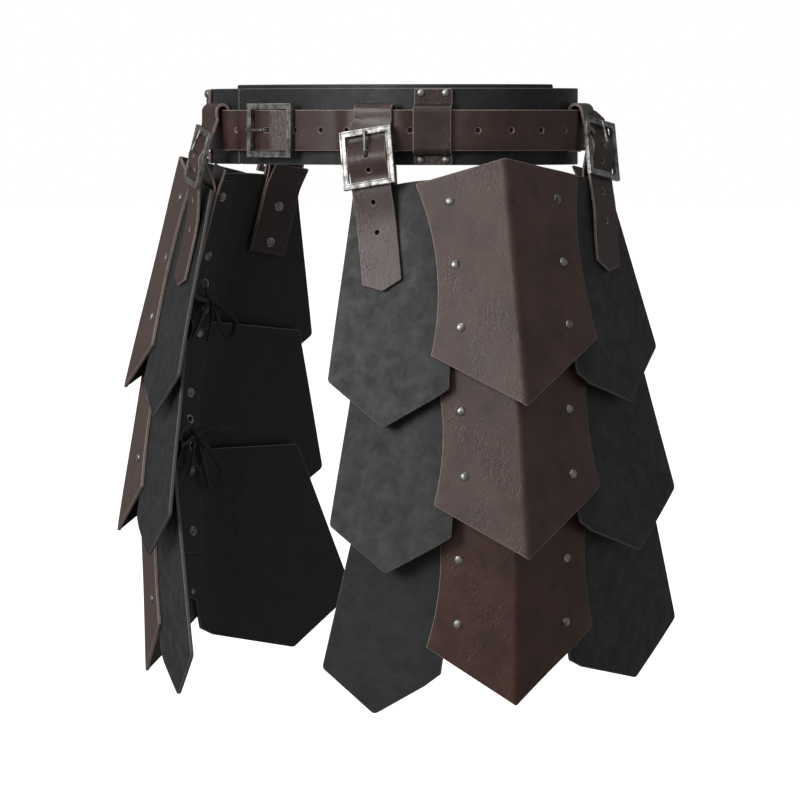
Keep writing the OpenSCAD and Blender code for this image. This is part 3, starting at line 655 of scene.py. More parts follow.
def brown_leather(name, tint=(1.0, 1.0, 1.0), dark=1.0):
    f = Finish(name)
    uv = f.flat()
    mottle = f.cloud(f.co, 34, 5.0, 0.6)
    fine = f.cloud(f.co, 210, 4.0, 0.6)
    line, where = creases(f, uv, -38)
    crossing, _ = creases(f, f.turned(uv, 0, (1, 1, 1), (0.37, 0.21, 0)), 52, 0.8)
    creases_and_painted_shade = f.maths("MAXIMUM", line, crossing)
    deep, middle, light = (tuple(dark * c * t for c, t in zip(shade, tint)) for shade in BROWN_SHADES)
    colour = f.steps(mottle, (0.30, deep), (0.52, middle), (0.74, light))
    colour = f.blend(f.maths("MULTIPLY", f.steps(fine, (0.45, 0.0), (0.75, 1.0)), 0.35), colour, light)
    colour = f.blend(f.maths("MULTIPLY", where, 0.22), colour, shaded(light, 1.5))
    # painted shade: the crease lines are darkened in the colour, on top of their bumps
    colour = f.blend(f.maths("MULTIPLY", creases_and_painted_shade, 0.38), colour, shaded(deep, 0.55))
    rough = f.steps(mottle, (0.25, 0.36), (0.8, 0.50))
    flat = f.maths("SUBTRACT", 1.0, creases_and_painted_shade)
    f.bumps((f.grain(1500), 0.12, 0.0002), (mottle, 0.16, 0.0010), (fine, 0.15, 0.0004), (flat, 0.34, 0.0004))
    return f.end(colour, rough, Specular_IOR_Level=0.55)


def black_leather(name, inside=False):
    f = Finish(name)
    mottle = f.cloud(f.co, 85, 7.0, 0.68, 0.3)
    patches = f.cloud(f.co, 26, 3.0)
    scratch = f.cloud(f.turned(f.flat(), 35, (1, 0.08, 1)), 700, 2.0)
    low, high = BLACK_INSIDE_SHADES if inside else BLACK_SHADES
    colour = f.steps(mottle, (0.36, low), (0.66, high))
    colour = f.blend(f.maths("MULTIPLY", f.steps(patches, (0.42, 0.0), (0.62, 1.0)), 0.30), colour, high)
    scratched = f.maths("MULTIPLY", f.steps(scratch, (0.63, 0.0), (0.70, 1.0)), 0.25)
    colour = f.blend(scratched, colour, shaded(high, 1.6))
    grain = f.grain(1300)
    if inside:
        folds = f.cloud(f.turned(f.flat(), 0, (1, 0.09, 1)), 120, 4.0, 0.6, 0.6)
        f.bumps((grain, 0.2, 0.0002), (folds, 0.4, 0.0016), (mottle, 0.3, 0.0008))
        return f.end(colour, f.steps(mottle, (0.3, 0.42), (0.7, 0.6)), Specular_IOR_Level=0.45)
    f.bumps((grain, 0.14, 0.0002), (mottle, 0.22, 0.0007), (f.cloud(f.co, 420, 3.0), 0.12, 0.0003))
    return f.end(colour, f.steps(mottle, (0.35, 0.60), (0.65, 0.47)), Specular_IOR_Level=0.38)


def cut_edge(name, colour):
    f = Finish(name)
    fibre = f.cloud(f.co, 380, 3.0)
    shade = f.steps(fibre, (0.3, shaded(colour, 0.6)), (0.75, colour))
    f.bumps((fibre, 0.3, 0.0003))
    return f.end(shade, 0.42)


def antique_steel(name):
    f = Finish(name)
    tarnish = f.cloud(f.co, 160, 5.0, 0.65)
    fine = f.cloud(f.co, 1500, 2.0)
    colour = f.steps(tarnish, *zip((0.35, 0.6), STEEL_SHADES))
    f.bumps((fine, 0.06, 0.0001))
    return f.end(colour, f.steps(tarnish, (0.3, 0.52), (0.7, 0.38)), Metallic=1.0)


def lace_leather(name):
    f = Finish(name)
    fine = f.cloud(f.co, 500, 3.0)
    f.bumps((fine, 0.25, 0.0003))
    return f.end(f.steps(fine, (0.35, 0.006), (0.7, 0.016)), 0.48)


BROWN = brown_leather("brown_leather")
BROWN_LOWER = brown_leather("brown_leather_lower", (1.08, 0.82, 0.62), 0.85)
BROWN_BELT = brown_leather("brown_leather_belt", (0.95, 0.95, 0.98), 0.78)
BROWN_BACK = brown_leather("brown_leather_back", (0.8, 0.85, 0.9), 0.6)
BLACK = black_leather("black_leather")
BLACK_BACK = black_leather("black_leather_inside", True)
BROWN_EDGE = cut_edge("brown_cut_edge", (0.30, 0.225, 0.20))
BLACK_EDGE = cut_edge("black_cut_edge", (0.13, 0.125, 0.12))
STEEL = antique_steel("antique_steel")
LACE = lace_leather("lace_leather")
STRAP_FINISH = [BROWN_BELT, BROWN_BACK, BROWN_EDGE]
BLACK_FINISH = [BLACK, BLACK_BACK, BLACK_EDGE]
STRIP_FINISH = [BLACK_BACK, BLACK_BACK, BLACK_EDGE]


# Belts
BASE_ENDS, OVERLAP_ENDS, WAIST_ENDS = (-19.6, 339.2), (-24, 96), (3, 486)
BASE_WAVE = 0.06
OVERLAP_RISE = 3
WAIST_POINT, POINT_HALF = 11.0, 3
WAIST_SLOT = (3.7, 1.6)


def belt_place(outer_face):
    """x is the arc length round the ring and y the height.
    outer_face gives how far out the face lies at an angle in degrees."""

    def place(x, y, d):
        t = angle_at(x)
        return np.concatenate([ring_pt(t, outer_face(t) - d), y[:, None]], 1)

    return place


def wavy(t, size):
    """Slow unevenness of a belt round the ring."""
    return size * (np.sin(np.radians(t * 5.0)) + 0.6 * np.sin(np.radians(t * 11.0 + 40)))


def band_part(ends, z0, z1, outer_face, thick, holes=(), point=0.0, step=4.0):
    """A band round the ring between two angles, its far end blunt or drawn to a point."""
    s0, s1 = (float(arc_of(t)) for t in ends)
    mid = (z0 + z1) / 2
    end = [[s1, z0], [s1, z1]]
    if point:
        end = [[s1 - point, z0], [s1, mid - POINT_HALF], [s1, mid + POINT_HALF], [s1 - point, z1]]
    outline = rounded([[s0, z1], [s0, z0], *end], 2.0)
    grid = (lines(s0, s1, step), lines(z0, z1, 8.0))
    return leather(outline, list(holes), belt_place(outer_face), thick, grid)


def base_face(t):
    return BASE_OUT + wavy(t, BASE_WAVE)


def overlap_face(t):
    return BASE_OUT - BASE_T - BELT_GAP + wavy(t, BASE_WAVE)


def waist_face(t):
    return strap_mid(t) + BELT_T / 2


base_part = band_part(BASE_ENDS, -BASE_H / 2, BASE_H / 2, base_face, BASE_T)
base = leather_piece("base_belt_leather", [base_part], BLACK_FINISH)
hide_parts("base_belt")
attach(base, "belt")

overlap_z = (OVERLAP_RISE - BASE_H / 2, OVERLAP_RISE + BASE_H / 2)
overlap_part = band_part(OVERLAP_ENDS, *overlap_z, overlap_face, BASE_T)
overlap = leather_piece("base_belt_overlap_leather", [overlap_part], BLACK_FINISH)
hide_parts("base_belt_overlap")
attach(overlap, "belt")

# holes every pitch either side of the buckle, where the prong's slot takes the place of one
buckle_s = float(arc_of(360 + WAIST_AT))
strap_holes = [circle(buckle_s + i * HOLE_PITCH, BELT_Z, HOLE_R) for i in range(-3, 11) if i != 0]
slot_x, slot_z = WAIST_SLOT
strap_holes.append(oblong(buckle_s - slot_x, BELT_Z - slot_z, buckle_s + slot_x, BELT_Z + slot_z))
waist_part = band_part(WAIST_ENDS, BELT_BOTTOM, BELT_TOP, waist_face, BELT_T, strap_holes, WAIST_POINT, 3.2)
waist_strap = leather_piece("waist_strap_leather", [waist_part], STRAP_FINISH)
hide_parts("waist_strap")
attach(waist_strap, "belt")


def ring_frame(t):
    """Place, outward direction and direction round the ring at t degrees."""
    p, n = ring_pt(np.array([t]), 0.0)[0], ring_n(np.array([t]))[0]
    return np.array([*p, 0.0]), np.array([*n, 0.0]), np.array([-n[1], n[0], 0.0])


def ring_run(t, profile, sign=1.0):
    """Points of a profile of (outwards, up) at t degrees, and the direction across it."""
    p, n, r = ring_frame(t)
    return [p + n * x + np.array([0, 0, z]) for x, z in profile], [r * sign] * len(profile)


# each keeper's angle, and how much further out the strap lies under it
KEEPERS = [(47.6, LAYER), (-50, 0.0), (150, 0.0), (-150, 0.0)]
KEEPER_T, KEEPER_W, KEEPER_END = 2.4, 30.0, 29.5


def keeper_part(at, extra):
    """A keeper that lies on the base belt at both ends and bridges the waist strap."""
    low = BASE_OUT + KEEPER_T / 2 + GAP / 2
    high = BELT_T / 2 + extra + KEEPER_T / 2 + 0.4
    profile = [(low, -KEEPER_END), (low, -24), (low + 0.2, -21.8), (high - 0.3, -19.4), (high, -17)]
    profile += [(high, -3), (high, BELT_TOP - 1), (high - 0.3, BELT_TOP + 0.9)]
    profile += [(low + 0.3, 17.2), (low, 19.5), (low, KEEPER_END)]
    run = Run(*ring_run(at, profile, -1.0))
    half = KEEPER_W / 2
    grid = (lines(-half, half, 6), lines(0, run.length, 1.6))
    return leather(oblong(-half, 0, half, run.length, 2.0), [], run.place(KEEPER_T), KEEPER_T, grid)


keepers = leather_piece("belt_keepers_leather", [keeper_part(*spot) for spot in KEEPERS], STRAP_FINISH)
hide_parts("belt_keepers")
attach(keepers, "belt")


# Hanger straps, the front one first
HANGER_AT = ((FRONT_AT, -1.0), (REAR_AT, 1.0))
HANGER_WORDS = ("front", "rear")
LOOP_OUT = BELT_T / 2 + LAYER + PUSH + GAP + STRAP_T / 2
LOOP_IN = BASE_OUT + 0.2 + STRAP_T / 2
LOOP_TOP = BELT_TOP - 1
LOOP_FOOT = (4.0, 8.0)
KNEE_RISE = (5, 10)
STRAP_POINT = 7
TAIL_HOLES = (-9.4, -34.4, -58)
PRONG_SLOT_HALF, PRONG_SLOT_ENDS = 1.7, (5, -0.5)
FOLD_T, FOLD_SLOT_HALF, BAR_WRAP = 1.9, 2.9, 2.0
HALF_STRAP = STRAP_W / 2


def hanger_path(k, pairs):
    """Points of a hanger's outer wing from (outwards, up the slant), and the direction across the strap."""
    pts = [wing_point(0, k == 1, HANG_M[k], -PLATE_T + y, z, True) for y, z in pairs]
    a = wing_point(0, k == 1, HANG_M[k] - 10, 0, 200, True)
    b = wing_point(0, k == 1, HANG_M[k] + 10, 0, 200, True)
    w = (b - a) / np.linalg.norm(b - a)
    return pts, [w] * len(pts)


def arc(cx, cy, r, a0, a1, n):
    """Points of an arc in n steps between two angles in degrees."""
    turns = [math.radians(a0 + (a1 - a0) * i / n) for i in range(n + 1)]
    return [(cx + r * math.cos(a), cy + r * math.sin(a)) for a in turns]


def hanger_strap(k, side_name, side):
    """The strap over the belt and down through its buckle, bent as one piece."""
    at, sign = HANGER_AT[k]
    off, b, tip = HANG_OFF[k], HANG_H[k], TAIL_TIP[k]
    middle = (LOOP_OUT + LOOP_IN) / 2
    over = arc(middle, LOOP_TOP, LOOP_OUT - middle, 180, 0, 6)
    loop, loop_w = ring_run(at, [(LOOP_IN, LOOP_TOP - 8)] + over + [(LOOP_OUT, LOOP_FOOT[k])], sign)
    low, high, end = off - 1.4, off + 4.2, 0.5 + STRAP_T / 2 + 0.1
    pairs = [(low, b + 19.5), (low + 0.6, b + 14), (high - 1.2, b + 5), (high, b), (high - 1.2, b - 5)]
    pairs += [(low + 0.6, b - 14), (low, b - 19), (low - 0.4, b - 25), (end + 1.2, b - 50)]
    pairs += [(end, tip + 22), (end, tip)]
    tail, tail_w = hanger_path(k, pairs)
    run = Run(loop + tail, loop_w + tail_w)
    heights = [z for _, z in pairs]

    def along(z):
        return float(np.interp(-z, [-h for h in heights], run.marks[len(loop):]))

    w, L = HALF_STRAP, run.length
    corners = [[-w, 0], [w, 0], [w, L - STRAP_POINT], [0, L], [-w, L - STRAP_POINT]]
    outline = rounded(corners, [1, 1, 1.5, 1.5, 1.5])
    holes = [circle(0, along(b + d), HOLE_R) for d in TAIL_HOLES]
    s0, s1 = (along(b + d) for d in PRONG_SLOT_ENDS)
    holes.append(oblong(-PRONG_SLOT_HALF, s0, PRONG_SLOT_HALF, s1))
    grid = (lines(-w, w, 5.4), lines(0, L, 2.0))
    part = leather(outline, holes, run.place(STRAP_T, side), STRAP_T, grid)
    strap = leather_piece(f"{side_name}_{HANGER_WORDS[k]}_hanger_strap", [part], STRAP_FINISH)
    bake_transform(strap)
    return strap


def hanger_leg(k, side_name, side):
    """The strap's leg behind the belt."""
    at, sign = HANGER_AT[k]
    profile = [(LOOP_IN, LOOP_TOP - 4), (LOOP_IN, 0), (LOOP_IN, BELT_BOTTOM - 1)]
    run = Run(*ring_run(at, profile, sign))
    w = HALF_STRAP
    grid = (lines(-w, w, 8), lines(0, run.length, 6))
    part = leather(oblong(-w, 0, w, run.length, 1), [], run.place(STRAP_T, side), STRAP_T, grid)
    leg = leather_piece(f"{side_name}_{HANGER_WORDS[k]}_hanger_back_leg", [part], STRAP_FINISH)
    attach(leg, "belt")
    return leg


def hanger_fold(k, side_name, side):
    """The strap that holds the buckle: round its bar, down behind the lame and up again."""
    b, f, c = HANG_H[k], FOLD_H[k], HANG_OFF[k] - 0.5
    r = (TAIL_IN - FOLD_IN) / 2
    knee = TOPS[0] + KNEE_RISE[k]
    pairs = arc(c, b, BAR_WRAP, -50, 180, 10)
    # the first point past the bar, where the slot for the prong ends
    past_bar = len(pairs)
    pairs += [(c - BAR_WRAP, b - 3), ((c - BAR_WRAP + TAIL_IN) / 2, (b + knee) / 2 - 1)]
    pairs += [(TAIL_IN, knee - 1), (TAIL_IN, knee - 12), (TAIL_IN, 150)]
    pairs += arc(TAIL_IN - r, f, r, 0, -180, 8)
    pairs += [(FOLD_IN, 150), (FOLD_IN, 178), (FOLD_IN - 0.4, 186), tuple(LEG_END[k])]
    run = Run(*hanger_path(k, pairs), 0.5)
    slot_end = float(run.marks[past_bar]) + 1.5
    w, L = HALF_STRAP, run.length
    outline, hole = oblong(-w, 0, w, L, 1), oblong(-FOLD_SLOT_HALF, 1.5, FOLD_SLOT_HALF, slot_end)
    grid = (lines(-w, w, 8), lines(0, 24, 0.9) + lines(24, L, 2.2))
    part = leather(outline, [hole], run.place(FOLD_T, side), FOLD_T, grid, 0.4)
    fold = leather_piece(f"{side_name}_{HANGER_WORDS[k]}_hanger_fold", [part], STRAP_FINISH)
    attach(fold, f"{side_name}_upper_lame")
    return fold


def hanger(k, side_name, side):
    return hanger_strap(k, side_name, side), hanger_leg(k, side_name, side), hanger_fold(k, side_name, side)


hangers = {name: [hanger(k, name, side) for k in (0, 1)] for name, side in SIDES}
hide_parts("strap_loops")
for name, _ in SIDES:
    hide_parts(f"{name}_strap_tails")
    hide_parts(f"{name}_strap_folds")


# Lames
# where the black leather's bend behind the ridge begins, and how its hidden stub lies to the rear panel
BEND_M, STUB_CLEAR, STUB_DROP = 28, 1, 6
PANEL_STEP, SLANT_STEP = 5, 7


def hollowed(p, q, dip):
    """A curved side edge from p to q that bows towards the ridge by dip."""
    shares = np.linspace(0, 1, 13)
    return [[p[0] + s * (q[0] - p[0]) - 4 * dip * s * (1 - s), p[1] + s * (q[1] - p[1])] for s in shares]


def front_panel_part(i, side):
    k = BLACK_K
    pts = [[STRIP_REAR - STUB_CLEAR - k, TOPS[i]], [-(BEND_M - k), TOPS[i]]]
    pts += [[-(m - k), h] for m, h in FRONT_OUT[i] + FRONT_STEP]
    pts += [[-(BEND_M - k), RIDGE_LOW], [BEND_M - k, RIDGE_LOW]]
    pts += [[STRIP_REAR - STUB_CLEAR - k, RIDGE_LOW - STUB_DROP]]
    outline = rounded(pts, [0.8, 0, 0, 3, 5, 5, 0, 2, 2, 0, 0, 0.8])
    grid = (lines(-165, 40, PANEL_STEP), lines(-15, 200, SLANT_STEP))
    return leather(outline, [], on_lame(i, BLACK_PLAN, side), PLATE_T, grid)


def rear_panel_part(i, side):
    k = BLACK_K
    pts = [[m - k, h] for m, h in REAR_OUT[i][::-1]]
    pts += [[STRIP_REAR - k, TOPS[i]], [STRIP_REAR - k, RIDGE_LOW - STUB_DROP]]
    pts += [[m - k, h] for m, h in REAR_STEP[::-1]]
    outline = rounded(pts, [0, 5, 5, 3, 0, 0.8, 0.8, 2, 2])
    grid = (lines(30, 220, PANEL_STEP), lines(0, 200, SLANT_STEP))
    return leather(outline, [], on_lame(i, BLACK_PLAN, side), PLATE_T, grid)


def ridge_plate_part(i, side):
    peak = PEAK_H if i == 0 else TOPS[i] - 1
    front_top = [73, 185.5 if i == 0 else TOPS[i] - 1]
    rear_top = [78.5 if i == 0 else 80, 190 if i == 0 else TOPS[i] - 1]
    front = [[-m, h] for m, h in hollowed(front_top, PLATE_FRONT_LOW[i], 11)]
    rear = hollowed(rear_top, PLATE_REAR_LOW[i], 10)
    pts = [[0, 0], *rear[::-1], [0, peak], *front]
    radii = [2.5] + [1.8] + [0] * (len(rear) - 2) + [1.8, 2.0, 1.8] + [0] * (len(front) - 2) + [1.8]
    across = lines(-86, -8, PANEL_STEP) + lines(-8, 8, 1.1) + lines(8, 90, PANEL_STEP)
    grid = (across, lines(0, 200, SLANT_STEP))
    return leather(rounded(pts, radii), [], on_lame(i, BROWN_PLAN, side), PLATE_T - GAP / 2, grid)


def strip_bend(i):
    """A lace strip's path in its wing, bent inwards away from the plate below it."""
    return Bent(STRIP_PATHS[i], [30.0] * (len(STRIP_PATHS[i]) - 2))


def strip_at(i, h):
    """The length down a lace strip's path at which it comes to the height h."""
    return float(np.interp(-h, [-p[1] for p in STRIP_PATHS[i]], strip_bend(i).u))


def strip_part(i, rear, side):
    """A lace strip with its eyelet holes."""
    col, near = (COL_REAR, STRIP_REAR) if rear else (COL_FRONT, STRIP_FRONT)
    path = strip_bend(i)

    def place(x, s, d):
        pos, n = path.at(s)
        q = pos + n * (d - STRIP_T / 2)[:, None]
        return wing_point(i, rear, x, q[:, 0], q[:, 1]) * [side, 1, 1]

    L = float(path.u[-1])
    holes = [circle(col, strip_at(i, h), 2.1, 16) for h in EYES[i]]
    outline = oblong(near, 0, near + STRIP_W, L)
    grid = (lines(near, near + STRIP_W, 5.4), lines(0, L, 4))
    return leather(outline, holes, place, STRIP_T, grid, 0.5)


for name, side in SIDES:
    for i, tier in enumerate(TIERS):
        body = f"{name}_{tier}_lame"
        ridge_finish = [BROWN_LOWER if i == 2 else BROWN, BROWN_BACK, BROWN_EDGE]
        for word, part, mats, slot in (
            ("front_panel", front_panel_part(i, side), BLACK_FINISH, "black_leather"),
            ("rear_panel", rear_panel_part(i, side), BLACK_FINISH, "black_leather"),
            ("ridge_plate", ridge_plate_part(i, side), ridge_finish, "brown_leather"),
        ):
            piece = leather_piece(f"{name}_{tier}_{word}_leather", [part], mats)
            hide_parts(f"{name}_{tier}_{word}")
            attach(piece, body)
        parts = [strip_part(i, rear, side) for rear in (False, True)]
        strips = leather_piece(f"{name}_{tier}_lace_strip_leather", parts, STRIP_FINISH)
        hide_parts(f"{name}_{tier}_lace_strips")
        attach(strips, body)


# Metal
def softened(node, name, width, material):
    """A copy of a rigid node's own shape with its edges rounded."""
    src = frame["nodes"][node]
    bm = bmesh.new()
    bm.from_mesh(src.data)
    bmesh.ops.remove_doubles(bm, verts=bm.verts[:], dist=2e-6)
    bmesh.ops.dissolve_limit(bm, angle_limit=math.radians(1.0), verts=bm.verts[:], edges=bm.edges[:])
    me = bpy.data.meshes.new(name)
    bm.to_mesh(me)
    bm.free()
    me.materials.clear()
    me.materials.append(material)
    me.polygons.foreach_set("use_smooth", [True] * len(me.polygons))
    o = linked_object(name, me)
    b = o.modifiers.new("Rounded edges", "BEVEL")
    b.width, b.segments, b.limit_method, b.angle_limit = width * MM, 2, "ANGLE", math.radians(35)
    b.harden_normals = True
    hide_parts(node)
    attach(o, src["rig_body"])


FRAME_EDGE, PRONG_EDGE = 0.35, 0.15
softened("waist_buckle_frame", "waist_buckle", FRAME_EDGE, STEEL)
softened("waist_prong", "waist_buckle_prong", PRONG_EDGE, STEEL)
for name, _ in SIDES:
    softened(f"{name}_buckle_frames", f"{name}_hanger_buckles", FRAME_EDGE, STEEL)
    for word in HANGER_WORDS:
        softened(f"{name}_{word}_prong", f"{name}_{word}_buckle_prong", PRONG_EDGE, STEEL)


def dome_shape(new, link, inputs):
    """A unit ball, and its scale as a cap."""
    ball = new("GeometryNodeMeshUVSphere")
    for key, value in (("Segments", 28), ("Rings", 14), ("Radius", 1.0)):
        ball.inputs[key].default_value = value
    size = new("ShaderNodeCombineXYZ")
    for k, key in enumerate(("Cap radius", "Cap radius", "Cap height")):
        link(inputs[key], size.inputs[k])
    return ball.outputs["Mesh"], size.outputs[0]


def washer_shape(new, link, inputs):
    """A round ring, and the scale that flattens it."""
    middle, tube = new("GeometryNodeCurvePrimitiveCircle"), new("GeometryNodeCurvePrimitiveCircle")
    middle.inputs["Resolution"].default_value = 32
    tube.inputs["Resolution"].default_value = 12
    link(inputs["Middle radius"], middle.inputs["Radius"])
    link(inputs["Half width"], tube.inputs["Radius"])
    swept = new("GeometryNodeCurveToMesh")
    link(middle.outputs["Curve"], swept.inputs["Curve"])
    link(tube.outputs["Curve"], swept.inputs["Profile Curve"])
    size = new("ShaderNodeCombineXYZ")
    size.inputs[0].default_value = size.inputs[1].default_value = 1.0
    link(inputs["Flatness"], size.inputs[2])
    return swept.outputs[0], size.outputs[0]


def on_points_tree(name, sizes, shape):
    """Nodes that set a shape on every point, square to the point's facing attribute."""
    t = bpy.data.node_groups.new(name, "GeometryNodeTree")
    kinds = [("Geometry", "Geometry")] + [(key, "Float") for key in sizes] + [("Finish", "Material")]
    for key, kind in kinds:
        t.interface.new_socket(key, in_out="INPUT", socket_type="NodeSocket" + kind)
    t.interface.new_socket("Geometry", in_out="OUTPUT", socket_type="NodeSocketGeometry")
    new, link = t.nodes.new, t.links.new
    gin, gout = new("NodeGroupInput"), new("NodeGroupOutput")
    mesh, scale = shape(new, link, gin.outputs)
    shaped = new("GeometryNodeTransform")
    link(mesh, shaped.inputs["Geometry"])
    link(scale, shaped.inputs["Scale"])
    smooth = new("GeometryNodeSetShadeSmooth")
    link(shaped.outputs[0], smooth.inputs["Geometry"])
    facing = new("GeometryNodeInputNamedAttribute")
    facing.data_type = "FLOAT_VECTOR"
    facing.inputs["Name"].default_value = "facing"
    turn = new("FunctionNodeAlignRotationToVector")
    turn.axis = "Z"
    link(facing.outputs["Attribute"], turn.inputs["Vector"])
    on = new("GeometryNodeInstanceOnPoints")
    link(gin.outputs["Geometry"], on.inputs["Points"])
    link(smooth.outputs[0], on.inputs["Instance"])
    link(turn.outputs["Rotation"], on.inputs["Rotation"])
    real = new("GeometryNodeRealizeInstances")
    link(on.outputs[0], real.inputs[0])
    paint = new("GeometryNodeSetMaterial")
    link(real.outputs[0], paint.inputs["Geometry"])
    link(gin.outputs["Finish"], paint.inputs["Material"])
    link(paint.outputs[0], gout.inputs["Geometry"])
    return t


STUDS = on_points_tree("Studs", ("Cap radius", "Cap height"), dome_shape)
WASHERS = on_points_tree("Washers", ("Middle radius", "Half width", "Flatness"), washer_shape)


class Spots:
    """Places of one kind of fastener, and the way that each one faces."""

    def __init__(self):
        self.places, self.facings = [], []

    def add(self, place, facing):
        self.places.append(place)
        self.facings.append(facing)


def repeated(name, tree, spots, values):
    """A plain mesh of the tree's shape on every spot."""
    me = bpy.data.meshes.new(name + "_points")
    me.from_pydata((np.array(spots.places) * MM).tolist(), [], [])
    attribute = me.attributes.new("facing", "FLOAT_VECTOR", "POINT")
    attribute.data.foreach_set("vector", np.array(spots.facings, np.float32).ravel())
    o = linked_object(name + "_points", me)
    mod = o.modifiers.new("Repeated", "NODES")
    mod.node_group = tree
    items = [s for s in tree.interface.items_tree if s.item_type == "SOCKET" and s.in_out == "INPUT"]
    sockets = {s.name: s.identifier for s in items}
    for key, value in values.items():
        mod[sockets[key]] = value
    dg = bpy.context.evaluated_depsgraph_get()
    made = bpy.data.meshes.new_from_object(o.evaluated_get(dg), preserve_all_data_layers=True, depsgraph=dg)
    bpy.data.objects.remove(o)
    made.name = name
    return linked_object(name, made)


def domes(name, spots, radius, height):
    sizes = {"Cap radius": radius * MM, "Cap height": height * MM, "Finish": STEEL}
    return repeated(name, STUDS, spots, sizes)


def unit(v):
    return np.asarray(v) / np.linalg.norm(v)


def wing_facing(i, rear, outer=False):
    return unit(wing_point(i, rear, 90, 1, 100, outer) - wing_point(i, rear, 90, 0, 100, outer))


def eye_spot(i, rear, h, side):
    """Middle and outward direction of an eyelet in a lace strip."""
    pos, n = strip_bend(i).at(np.array([strip_at(i, h)]))
    col = COL_REAR if rear else COL_FRONT
    a = wing_point(i, rear, col, pos[0, 0], pos[0, 1])
    b = wing_point(i, rear, col, pos[0, 0] + n[0, 0], pos[0, 1] + n[0, 1])
    return a * [side, 1, 1], unit(b - a) * [side, 1, 1]


CAP_R, CAP_H = 3.7, 1.9
# how far towards the wearer from the face the middle of a cap lies, and of a keeper rivet's inner end
SEAT = 0.1
END_R, END_H = 2.1, 0.6
RING = {"Middle radius": 3.05 * MM, "Half width": 1.05 * MM, "Flatness": 0.62, "Finish": STEEL}
FOLD_BACK = -PLATE_T + FOLD_IN - STRAP_T / 2 + 0.2


def rivet_spots(i, rear, flip, caps, covered, inner, rings):
    """Rivets of a wing; the two upper ones also hold the lace strip, each with a ring inside."""
    col = COL_REAR if rear else COL_FRONT
    n = wing_facing(i, rear) * flip
    for j, h in enumerate(RIVET_HS[i]):
        lift = float(sway(np.array([col if rear else -col]), np.array([float(h)]), i)[0])
        under = i > 0 and j == 0
        (covered if under else caps).add(wing_point(i, rear, col, lift - SEAT, h) * flip, n)
        depth = STRIP_IN - STRIP_T / 2 if j < 2 else -2 * PLATE_T
        back = wing_point(i, rear, col, depth, h) * flip
        inner.add(back, -n)
        if j < 2:
            rings.add(back, n)


def fold_spots(rear, flip, inner, rings):
    """Rivets through a hanger's fold and the upper lame."""
    n = wing_facing(0, rear, True) * flip
    for h in FOLD_RIVETS[int(rear)]:
        m = HANG_M[int(rear)]
        inner.add(wing_point(0, rear, m, -PLATE_T - 0.15, h, True) * flip, n)
        back = wing_point(0, rear, m, FOLD_BACK, h, True) * flip
        rings.add(back, n)
        inner.add(back, -n)


for name, side in SIDES:
    flip = np.array([side, 1, 1])
    for i, tier in enumerate(TIERS):
        caps, covered, inner, rings = Spots(), Spots(), Spots(), Spots()
        for rear in (False, True):
            rivet_spots(i, rear, flip, caps, covered, inner, rings)
            for h in EYES[i]:
                p, d = eye_spot(i, rear, h, side)
                for face in (-1, 1):
                    rings.add(p + d * face * STRIP_T / 2, d)
            if i == 0:
                fold_spots(rear, flip, inner, rings)
        body = f"{name}_{tier}_lame"
        outer = domes(f"{name}_{tier}_rivet_caps", caps, CAP_R, CAP_H)
        ends = domes(f"{name}_{tier}_rivet_ends", inner, END_R, END_H)
        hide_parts(f"{name}_{tier}_rivets")
        washers = repeated(f"{name}_{tier}_steel_rings", WASHERS, rings, RING)
        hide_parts(f"{name}_{tier}_rings")
        metal = [outer, ends, washers]
        if covered.places:
            metal.append(domes(f"{name}_{tier}_covered_caps", covered, CAP_R, HIDDEN_CAP))
        for piece in metal:
            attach(piece, body)

KEEPER_RIVET_Y = 9.8
KEEPER_END_R, KEEPER_END_H = 2.6, 0.5
caps, ends = Spots(), Spots()
for at, _ in KEEPERS:
    p, n, r = ring_frame(at)
    for y in (-KEEPER_RIVET_Y, KEEPER_RIVET_Y):
        for z in (-KEEPER_RIVET_Z, KEEPER_RIVET_Z):
            spot = p + r * y + np.array([0, 0, z])
            caps.add(spot + n * (BASE_OUT + KEEPER_T + GAP - SEAT), n)
            ends.add(spot + n * (BASE_OUT - BASE_T - SEAT), -n)
keeper_caps = domes("keeper_rivet_caps", caps, KEEPER_CAP_R, CAP_H)
keeper_ends = domes("keeper_rivet_ends", ends, KEEPER_END_R, KEEPER_END_H)
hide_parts("keeper_rivets")
for piece in (keeper_caps, keeper_ends):
    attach(piece, "belt")

# Laces, each route in a wing from its knot: along the wing, outwards and up
LACE_W, LACE_T, KNOT_T = 4.4, 1.6, 2.2
RING_T = 0.8
# an end of a bow hangs at least this far from its knot
LACE_END_MIN = 33.0
LOOP_PTS = [
    [[[-3, -2, 1.5], [-15, -7, 14], [-27, -10, 12], [-24, -10, 2], [-3, -4.6, -1.9]],
     [[3, -2, 1.5], [14, -6, -18], [27, -9, -30], [26, -11, -15], [3, -4.6, -1.9]]],
    [[[-3, -2, 1.5], [-13, -7, 8], [-24, -10, 1], [-22, -10, -9], [-3, -4.6, -1.9]],
     [[3, -2, 1.5], [12, -6, -24], [22, -9, -44], [28, -11, -28], [3, -4.6, -1.9]]],
    [[[-3, -2, 1.5], [-9, -6, -16], [-15, -9, -30], [-7, -10, -32], [-3, -4.6, -1.9]],
     [[3, -2, 1.5], [12, -6, -16], [20, -9, -27], [24, -10, -15], [3, -4.6, -1.9]]],
    [[[-3, -2, 1.5], [-8, -6, -12], [-15, -9, -18], [-16, -10, -5], [-3, -4.6, -1.9]],
     [[3, -2, 1.5], [12, -6, -10], [21, -9, -13], [22, -10, 0], [3, -4.6, -1.9]]],
]
END_PTS = [
    [[-12, -8, -26], [3, -8, -34]],
    [[-6, -8, -34], [30, -10, 6]],
    [[-20, -8, -8], [4, -8, -37]],
    [[-4, -8, -36], [7, -9, -30]],
]
END_STARTS = ([-2.5, -3.5, -2.0], [2.5, -3.5, -2.0])
